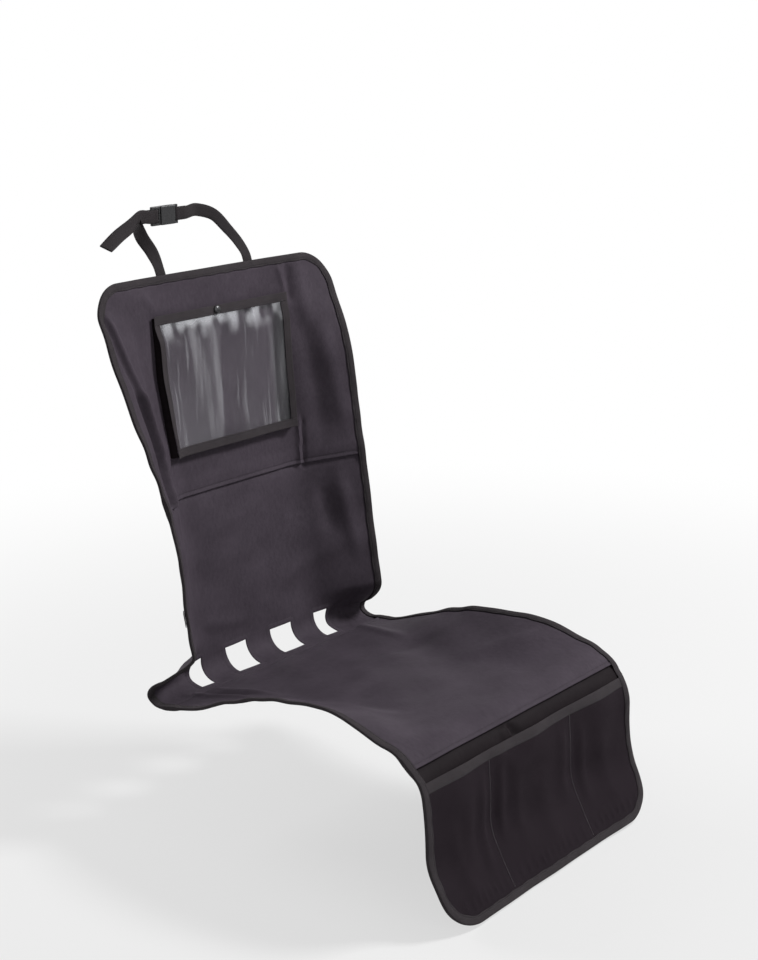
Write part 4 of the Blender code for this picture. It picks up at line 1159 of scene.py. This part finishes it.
# Apron pockets: one layer of dark knitted mesh over the apron, caught in the binding at its sides and foot
# and sewn down at two dividers. Its mouth is hemmed with a folded tape that gapes a little over each pocket.
MESH_INSET = 0.003
MESH_GAPE = 0.0065
DIVIDER = 0.100
HEM_WIDTH = 0.012
UNDER_BINDING = HALF - BINDING_WIDTH - 0.001
MESH_END = CLOTH_LENGTH - MESH_INSET
COMPARTMENTS = ((-UNDER_BINDING, -DIVIDER), (-DIVIDER, DIVIDER), (DIVIDER, UNDER_BINDING))
HOLE_PITCH = 0.0025
FOOT_PUCKER = 0.0013
FOOT_PUCKER_PITCH = 0.0155
MOUTH_SLACK = 0.48
MOUTH_BAND = 0.045
DEEP_SHARE = 0.35
FOOT_SLACK = 0.12
FOOT_FROM = MESH_END - 0.03
FOOT_TO = MESH_END - 0.012
DIVIDER_PLY = 0.00036
# Soft upright folds that the loose mesh hangs in: start, end, half width, and height
MESH_FOLDS = (
    ((-0.122, MESH_TOP + 0.030), (-0.127, MESH_TOP + 0.165), 0.0110, 0.0042),
    ((-0.158, MESH_TOP + 0.050), (-0.166, MESH_TOP + 0.150), 0.0150, 0.0030),
    ((-0.076, MESH_TOP + 0.020), (-0.082, MESH_TOP + 0.130), 0.0105, 0.0044),
    ((-0.046, MESH_TOP + 0.040), (-0.040, MESH_TOP + 0.150), 0.0130, 0.0030),
    ((0.076, MESH_TOP + 0.020), (0.074, MESH_TOP + 0.130), 0.0120, 0.0034),
    ((0.124, MESH_TOP + 0.030), (0.122, MESH_TOP + 0.150), 0.0110, 0.0038),
    ((0.016, MESH_TOP + 0.070), (0.026, MESH_TOP + 0.190), 0.0180, 0.0026),
    ((-0.196, MESH_TOP + 0.080), (-0.178, MESH_TOP + 0.190), 0.0140, 0.0024),
    ((0.170, MESH_TOP + 0.060), (0.180, MESH_TOP + 0.180), 0.0160, 0.0024),
)


def mesh_folds(u, s):
    """The loose mesh's own folds, and the small puckers along its sewn foot."""
    inside = smooth(UNDER_BINDING - np.abs(u), 0.0, 0.02) * smooth(np.abs(np.abs(u) - DIVIDER), 0.0, 0.018)
    hang = sum(fold(u, s, *row) for row in MESH_FOLDS)
    foot = smooth(s, MESH_END - 0.042, MESH_END - 0.020) * (1 - smooth(s, MESH_END - 0.018, MESH_END - 0.010))
    pucker = np.maximum(np.sin(2 * np.pi * u / FOOT_PUCKER_PITCH + 2.0 * np.sin(41 * u)), 0) ** 2
    low = 1 - smooth(s, MESH_END - 0.040, MESH_END - 0.014)
    return inside * (hang * low + FOOT_PUCKER * foot * pucker)


def mesh_gape(u, s):
    """How far the mesh stands off the apron."""
    u = np.asarray(u, float)
    belly = np.zeros(np.broadcast(u, s).shape)
    for left, right in COMPARTMENTS:
        t = np.clip((u - left) / (right - left), 0, 1)
        belly = belly + np.sin(np.pi * t) ** 2
    taut = MOUTH_SLACK + (1 - MOUTH_SLACK) * smooth(s, MESH_TOP, MESH_TOP + MOUTH_BAND)
    deep = 1 - smooth(s, MESH_TOP + DEEP_SHARE * (MESH_END - MESH_TOP), FOOT_FROM)
    shut = 1 - smooth(s, FOOT_FROM, FOOT_TO)
    return MESH_GAPE * taut * belly * (FOOT_SLACK + (1 - FOOT_SLACK) * deep) * shut + mesh_folds(u, s)


def mesh_height(u, s):
    return PANEL_FRONT + CLEARANCE + MESH_THICKNESS / 2 + mesh_gape(u, s)


def mesh_edge(s):
    return half_width(s, MESH_INSET)


MESH = Finish("mesh cloth", Specular_IOR_Level=0.02)
mesh_place = MESH.turned(MESH.flat(), math.radians(38))
cell_turn = 2 * math.pi / HOLE_PITCH
knit = (MESH.part(mesh_place, "X") * cell_turn).sine() * (MESH.part(mesh_place, "Y") * cell_turn).sine()
hole = knit.between(0.35, 0.75)
grain = MESH.noise(MESH.flat(), 1500, 2)
patch = MESH.noise(MESH.flat(), 14, 3)
# The knit's openings are half see-through and painted near-black: painted shade in the holes.
MESH.wear(
    Base_Color=MESH.tint(hole, (0.028, 0.0217, 0.0267), (0.002, 0.0016, 0.002)),
    Alpha=1 - 0.5 * hole,
    Roughness=0.58 + 0.14 * grain + 0.1 * patch,
    Normal=MESH.bump(1 - hole + grain * 0.3, 0.0003, 0.8),
)
mesh_half = HALF - MESH_INSET
mesh = fabric(
    "pocket_mesh_cloth",
    lines(-mesh_half, mesh_half, GRID, [-DIVIDER, DIVIDER]),
    lines(MESH_TOP, MESH_END, GRID, low_rows),
    MESH,
    mesh_height,
    MESH_THICKNESS,
    edge=mesh_edge,
)
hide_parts("apron_pocket_mesh")


def hem_section(u, s, along):
    """The hem tape's outline, from its sewn edge over the mesh's top edge and back."""
    tape = TAPE_THICKNESS * 0.7
    around = MESH_THICKNESS / 2 + CLEARANCE * 0.7
    outline = (
        (HEM_WIDTH, around),
        (HEM_WIDTH, around + tape * 0.7),
        (HEM_WIDTH - 0.0004, around + tape),
        (HEM_WIDTH - BINDING_THREAD, around + tape * 0.6),
        (HEM_WIDTH / 2, around + tape * 1.1),
        (0.0012, around + tape),
        (-CLEARANCE - tape * 0.4, around + tape * 0.8),
        (-CLEARANCE - tape, around * 0.5),
        (-CLEARANCE, 0.0),
        (-CLEARANCE, around),
        (HEM_WIDTH / 2, around),
    )
    return [(inward, height + float(mesh_height(u, MESH_TOP + max(inward, 0)))) for inward, height in outline]


hem_half = HALF - BINDING_WIDTH - CLEARANCE
hem_path = [(u, MESH_TOP, 0, 1) for u in lines(-hem_half, hem_half, BINDING_GRID, [-DIVIDER, DIVIDER])]
hem = swept("pocket_hem_tape", hem_path, hem_section, BINDING_TAPE)
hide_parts("apron_pocket_hem")
hem_row = [(u, MESH_TOP + HEM_WIDTH - BINDING_THREAD) for u in np.linspace(-hem_half, hem_half, 160)]
pocket_hem_stitches = stitched(
    "pocket_hem_stitches",
    [hem_row],
    lambda u, s: mesh_height(u, s) + MESH_THICKNESS / 2 + CLEARANCE * 0.7 + TAPE_THICKNESS * 0.45,
)
divider_rows = np.linspace(MESH_TOP + HEM_WIDTH, CLOTH_LENGTH - 0.013, 60)
divider_stitches = stitched(
    "pocket_divider_stitches",
    [[(side * DIVIDER, s) for s in divider_rows] for side in (-1, 1)],
    lambda u, s: mesh_height(u, s) + MESH_THICKNESS / 2,
    thread=twisted("divider thread", (0.10, 0.095, 0.10), (0.19, 0.18, 0.19)),
    radius=DIVIDER_PLY,
)

# Straps: flat polyester webbing, each sewn behind the top edge with a boxed patch of thread. The left one
# goes through the buckle's plug and ends in a loose hemmed tail. The right one goes round the socket's bar.
WEBBING_WIDTH = 0.020
WEBBING_THICKNESS = 0.0013
STRAP_FROM_MIDDLE = 0.094
STRAP_FOOT = 0.045
BUCKLE_X = -0.018
BUCKLE_BEHIND_TOP = 0.06455
BUCKLE_ABOVE_TOP = 0.07862
WRAP_FAR = 0.014
WRAP_NEAR = 0.004
SEWN_END = 0.022
SOCKET_LENGTH = 0.0300
PLUG_BASE = 0.0175
PLUG_THICKNESS = 0.0054
BAR = 0.0030
SLOT = 0.0042
TAIL_HEM = 0.012
PATCH_TOP = 0.0130
PATCH_INSET = 0.0025
PATCH_FOOT = 0.003
TACK_HALF = 0.009
TACK_ROWS = (0.0030, 0.0042, 0.0054)
WEBBING = ribbed("webbing", (0.016, 0.0140, 0.015), (0.054, 0.048, 0.051), rib=0.0017, rough=0.55)
strap_height = -(PANEL_FRONT + CLEARANCE + TAPE_THICKNESS + 1.5 * CLEARANCE + WEBBING_THICKNESS / 2)
TOP_Y, TOP_Z = middle_surface(np.array(0.0), np.array(0.0))[1:]
ALONG_X = (1, 0, 0)
UPWARD = (0, 0, 1)
buckle = np.array([BUCKLE_X, TOP_Y + BUCKLE_BEHIND_TOP, TOP_Z + BUCKLE_ABOVE_TOP])


def strap_start(side):
    """From the stitched foot behind the panel to just over the top edge."""
    u = side * STRAP_FROM_MIDDLE
    rows = [(cloth(u, STRAP_FOOT * part, strap_height), ALONG_X) for part in (1, 0.5, 0.135, 0)]
    rows.append((cloth(u, -STRAP_FOOT * 0.27, strap_height - WEBBING_THICKNESS * 2.3), ALONG_X))
    return rows


def off_top(x, back, up):
    """A point across, back and up from the middle of the top edge, in lengths of STRAP_FROM_MIDDLE."""
    return np.array([0, TOP_Y, TOP_Z]) + STRAP_FROM_MIDDLE * np.array([x, back, up])


KNOT_STEPS = 9


def curve_through(knots, gaps):
    """Points on a smooth curve through its knots, which lie so far apart."""
    slopes = np.diff(knots, axis=0) / gaps[:, None]
    before = gaps[:-1, None]
    after = gaps[1:, None]
    inner = (slopes[:-1] * after + slopes[1:] * before) / (before + after)
    tangents = np.concatenate([slopes[:1], inner, slopes[-1:]])
    points = []
    for i, gap in enumerate(gaps):
        for f in np.arange(KNOT_STEPS) / KNOT_STEPS:
            rise = 3 * f**2 - 2 * f**3
            start = (f**3 - 2 * f**2 + f) * gap * tangents[i]
            end = (f**3 - f**2) * gap * tangents[i + 1]
            points.append((1 - rise) * knots[i] + rise * knots[i + 1] + start + end)
    return np.array(points + [knots[-1]])


def webbing(name, knots, hemmed=0.0):
    """Webbing through knots of centre and width direction. Its end is turned back over the length hemmed."""
    centres, widths = (np.array([knot[k] for knot in knots], float) for k in (0, 1))
    gaps = np.linalg.norm(np.diff(centres, axis=0), axis=1)
    line = curve_through(centres, gaps)
    wide = curve_through(widths, gaps)
    ahead = np.gradient(line, axis=0)
    ahead /= np.linalg.norm(ahead, axis=1, keepdims=True)
    wide = wide - ahead * (wide * ahead).sum(1, keepdims=True)
    wide /= np.linalg.norm(wide, axis=1, keepdims=True)
    thick = np.cross(ahead, wide)
    reach = reach_along(line)
    half = WEBBING_WIDTH / 2
    deep = WEBBING_THICKNESS / 2
    shoulder = half - 0.0006
    inner = ((-shoulder, 0.95), (-half / 2, 1), (0, 1), (half / 2, 1), (shoulder, 0.95))
    face = ((-half, 0.3), *inner, (half, 0.3))
    outline = [(a, -deep * b) for a, b in face] + [(a, deep * b) for a, b in face[::-1]]
    turned_back = 0.9 if hemmed else 0.0
    double = 1 + turned_back * (1 - smooth(reach[-1] - reach, hemmed - 0.001, hemmed + 0.0005))
    rings = np.stack([line + wide * a + thick * (b * double)[:, None] for a, b in outline], 1)
    flat = [[(along, a) for a, _ in outline] for along in reach]
    return ringed(name, rings, flat, WEBBING)


plug_bar_x = BUCKLE_X - SOCKET_LENGTH / 2 - PLUG_BASE + BAR * 1.5 + SLOT
socket_bar_x = BUCKLE_X + SOCKET_LENGTH / 2 + SLOT + BAR / 2
plug_wrap = PLUG_THICKNESS / 2 + CLEARANCE + WEBBING_THICKNESS / 2
socket_wrap = BAR / 2 + CLEARANCE + WEBBING_THICKNESS / 2
through = (BAR + SLOT) / 2


def round_bar(bar_x, places):
    """Knots where the webbing goes round a bar of the buckle, from distances across and behind it."""
    return [((bar_x + across_bar, buckle[1] + behind, buckle[2]), UPWARD) for across_bar, behind in places]


left_knots = strap_start(-1) + [
    (off_top(-1.0, 0.213, 0.340), (0.90, -0.36, 0.16)),
    (off_top(-0.979, 0.468, 0.585), (0.66, -0.56, 0.50)),
    (off_top(-0.872, 0.660, 0.755), (0.34, -0.30, 0.89)),
    (off_top(-0.734, 0.750, 0.824), (0.08, -0.06, 0.99)),
    *round_bar(
        plug_bar_x,
        [
            (-WRAP_FAR, plug_wrap),
            (-WRAP_NEAR, plug_wrap),
            (through * 0.35, plug_wrap),
            (through * 0.95, plug_wrap * 0.6),
            (through, 0.0),
            (through * 0.95, -plug_wrap * 0.6),
            (through * 0.35, -plug_wrap),
            (-WRAP_NEAR, -plug_wrap),
            (-WRAP_FAR, -plug_wrap * 1.3),
        ],
    ),
    (off_top(-0.809, 0.612, 0.867), (0.0, -0.05, 0.99)),
    (off_top(-1.021, 0.511, 0.867), (0.0, -0.15, 0.98)),
    (off_top(-1.191, 0.436, 0.798), (-0.24, 0.10, 0.95)),
    (off_top(-1.596, 0.330, 0.660), (-0.46, 0.46, 0.74)),
    (off_top(-2.0, 0.181, 0.521), (-0.60, 0.68, 0.34)),
]
right_knots = strap_start(1) + [
    (off_top(1.0, 0.191, 0.255), (0.99, -0.10, 0.06)),
    (off_top(0.989, 0.479, 0.511), (0.90, -0.02, 0.40)),
    (off_top(0.872, 0.681, 0.745), (0.48, 0.12, 0.86)),
    (off_top(0.596, 0.766, 0.840), (0.0, 0.0, 1.0)),
    *round_bar(
        socket_bar_x,
        [
            (WRAP_FAR, -socket_wrap),
            (WRAP_NEAR, -socket_wrap),
            (-through * 0.35, -socket_wrap),
            (-through * 0.92, -socket_wrap * 0.62),
            (-through, 0.0),
            (-through * 0.92, socket_wrap * 0.62),
            (-through * 0.35, socket_wrap),
            (WRAP_NEAR, socket_wrap),
            (SEWN_END, socket_wrap),
        ],
    ),
]
left_webbing = webbing("left_webbing", left_knots, TAIL_HEM)
right_webbing = webbing("right_webbing", right_knots)
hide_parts("left_strap")
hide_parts("right_strap")


def boxed_patch(side):
    """The thread that holds a strap's foot: a box with a cross in it."""
    middle = side * STRAP_FROM_MIDDLE
    half = WEBBING_WIDTH / 2 - PATCH_INSET
    foot = STRAP_FOOT - PATCH_FOOT
    left, right = middle - half, middle + half
    box = [(left, PATCH_TOP), (right, PATCH_TOP), (right, foot), (left, foot)]
    return [box + box[:1], box[0::2], box[1::2]]


stitched(
    "strap_foot_stitches",
    boxed_patch(-1) + boxed_patch(1),
    lambda u, s: strap_height - WEBBING_THICKNESS / 2 + 0 * s,
    facing=-1,
)
stitched(
    "strap_bar_tacks",
    [
        [(side * STRAP_FROM_MIDDLE - TACK_HALF, s), (side * STRAP_FROM_MIDDLE + TACK_HALF, s)]
        for side in (-1, 1)
        for s in TACK_ROWS
    ],
    lambda u, s: binding_face(u, s) + TAPE_THICKNESS * 0.35,
)

# Buckle: two matt black injection-moulded parts of nylon. The plug's two sprung prongs click into the side
# windows of the socket, and each half holds its webbing on a bar.
MOULDED = Finish("buckle plastic", Specular_IOR_Level=0.45)
grain = MOULDED.noise(MOULDED.node("ShaderNodeTexCoord", {}, {}, "Object"), 2400, 3)
MOULDED.wear(
    Base_Color=MOULDED.tint(grain, (0.009, 0.009, 0.010), (0.022, 0.022, 0.024)),
    Roughness=0.36 + 0.16 * grain,
    Normal=MOULDED.bump(grain, 0.00008, 0.6),
)
refinish(("buckle_socket", "buckle_plug"), MOULDED)

# Side tab: a short length of the binding tape, folded in two into a loop. Its cut ends are caught behind the
# binding of the left edge, a little above the crease.
TAB_FROM_TOP = 0.475
TAB_WIDTH = 0.021
TAB_LENGTH = 0.011
TAB_PLY = 0.0005
TAB_LOOP = 0.0009
TAB_ROOT = 0.0063
TAB_GRID = 0.0021
tab_middle = -(PANEL_FRONT + CLEARANCE + TAPE_THICKNESS + CLEARANCE + TAPE_THICKNESS / 2)
tab_tip = -TAB_LENGTH + TAB_LOOP
tab_side = (tab_tip, -TAB_LENGTH / 2, TAB_ROOT)
tab_outline = [(inward, tab_middle + TAB_PLY) for inward in tab_side]
tab_outline += [(inward, tab_middle - TAB_PLY) for inward in tab_side[::-1]]
tab_outline += [
    (tab_tip - TAB_LOOP * math.sin(turn), tab_middle - TAB_LOOP * 0.75 * math.cos(turn))
    for turn in np.linspace(0.2, math.pi - 0.2, 7)
]
tab_inward, tab_height = np.array(tab_outline).T
tab_end = TAB_FROM_TOP + TAB_WIDTH
tab_rows = lines(TAB_FROM_TOP, tab_end, TAB_GRID, [TAB_FROM_TOP + 0.0004, tab_end - 0.0004])[:, None]
tab = ringed(
    "side_tab_tape",
    cloth(-HALF + tab_inward, tab_rows, tab_height),
    np.stack(np.broadcast_arrays(tab_inward, tab_rows), -1),
    BINDING_TAPE,
)
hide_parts("side_tab")

# Setting: a plain pale floor that keeps the object's shadow and fades to white further off, a white surround,
# three soft square lamps, and the camera at the picture's own place.
PICTURE_HEIGHT = 960
FOCAL_PIXELS = 1784.5
CAMERA_PLACE = (-1.9350, -1.5648, 0.9775)
CAMERA_TURN = math.radians(50.9)
CAMERA_FALL = math.radians(15.1)
CAMERA_ROLL = math.radians(-0.5)
LAMP_AIM = (0, 0.1, 0.2)
FLOOR_HALF = 7.0
FLOOR_DROP = 0.0005
FLOOR_LIFT = 0.62
FADE = (0.7, 2.2)
SURROUND_LEVEL = 0.16

FLOOR = Finish("pale floor", Roughness=0.9, Specular_IOR_Level=0.1, Base_Color=(0.60, 0.60, 0.60))
spot = FLOOR.node("ShaderNodeTexCoord", {}, {}, "Object")
away = FLOOR.node("ShaderNodeVectorMath", {"operation": "LENGTH"}, {0: spot}, 1)
white = FLOOR.node("ShaderNodeEmission", {}, {"Color": (1.0, 1.0, 1.0), "Strength": 1.0})
seen_floor = FLOOR.node("ShaderNodeLightPath", {}, {}, "Is Camera Ray")
share = seen_floor * (FLOOR_LIFT + away.between(*FADE) * (1 - FLOOR_LIFT))
faded = FLOOR.node("ShaderNodeMixShader", {}, {0: share, 1: Wire(FLOOR, FLOOR.shader.outputs[0]), 2: white})
FLOOR.fill(FLOOR.tree.nodes["Material Output"].inputs["Surface"], faded)
floor_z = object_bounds()[0][2] - FLOOR_DROP
floor_corners = [(x * FLOOR_HALF, y * FLOOR_HALF, floor_z) for x, y in ((-1, -1), (1, -1), (1, 1), (-1, 1))]
floor_mesh = bpy.data.meshes.new("floor")
floor_mesh.from_pydata(floor_corners, [], [(0, 1, 2, 3)])
floor_mesh.materials.append(FLOOR.owner)
floor = bpy.data.objects.new("floor", floor_mesh)
bpy.context.scene.collection.objects.link(floor)

SURROUND = Finish("white surround", bpy.data.worlds, "Background", Color=(1, 1, 1))
from_camera, from_gloss, from_glass = (
    SURROUND.node("ShaderNodeLightPath", {}, {}, f"Is {kind} Ray")
    for kind in ("Camera", "Glossy", "Transmission")
)
seen = from_camera.either(from_gloss.either(from_glass))
SURROUND.wear(Strength=SURROUND_LEVEL + seen * (1 - SURROUND_LEVEL))
bpy.context.scene.world = SURROUND.owner


def stood(place, right, up, back):
    """The place and turn of a lamp or the camera."""
    turn = np.eye(4)
    turn[:3] = np.stack([right, up, back, place], -1)
    return Matrix(turn.tolist())


def lamp(name, place, size, power):
    made = bpy.data.objects.new(name, bpy.data.lights.new(name, "AREA"))
    made.data.shape = "SQUARE"
    made.data.size = size
    made.data.energy = power
    bpy.context.scene.collection.objects.link(made)
    back = np.subtract(place, LAMP_AIM)
    back /= np.linalg.norm(back)
    right = np.cross((0, 0, 1), back)
    right /= np.linalg.norm(right)
    made.matrix_world = stood(place, right, np.cross(back, right), back)


lamp("key lamp", (1.6, -1.4, 2.4), 0.7, 92)
lamp("fill lamp", (-0.9, -2.8, 1.0), 1.6, 12)
lamp("back lamp", (-0.6, 2.6, 1.7), 1.8, 52)

level_ahead = np.array([math.sin(CAMERA_TURN), math.cos(CAMERA_TURN), 0.0])
level_right = np.array([math.cos(CAMERA_TURN), -math.sin(CAMERA_TURN), 0.0])
ahead = level_ahead * math.cos(CAMERA_FALL) - np.array([0.0, 0.0, math.sin(CAMERA_FALL)])
level_up = np.cross(level_right, ahead)
camera_right = math.cos(CAMERA_ROLL) * level_right + math.sin(CAMERA_ROLL) * level_up
camera_up = -math.sin(CAMERA_ROLL) * level_right + math.cos(CAMERA_ROLL) * level_up
camera = bpy.data.objects.new("camera", bpy.data.cameras.new("camera"))
camera.data.sensor_fit = "VERTICAL"
camera.data.lens = FOCAL_PIXELS / PICTURE_HEIGHT * camera.data.sensor_height
camera.matrix_world = stood(CAMERA_PLACE, camera_right, camera_up, -ahead)
bpy.context.scene.collection.objects.link(camera)
bpy.context.scene.camera = camera
bpy.context.scene.view_settings.view_transform = "Standard"
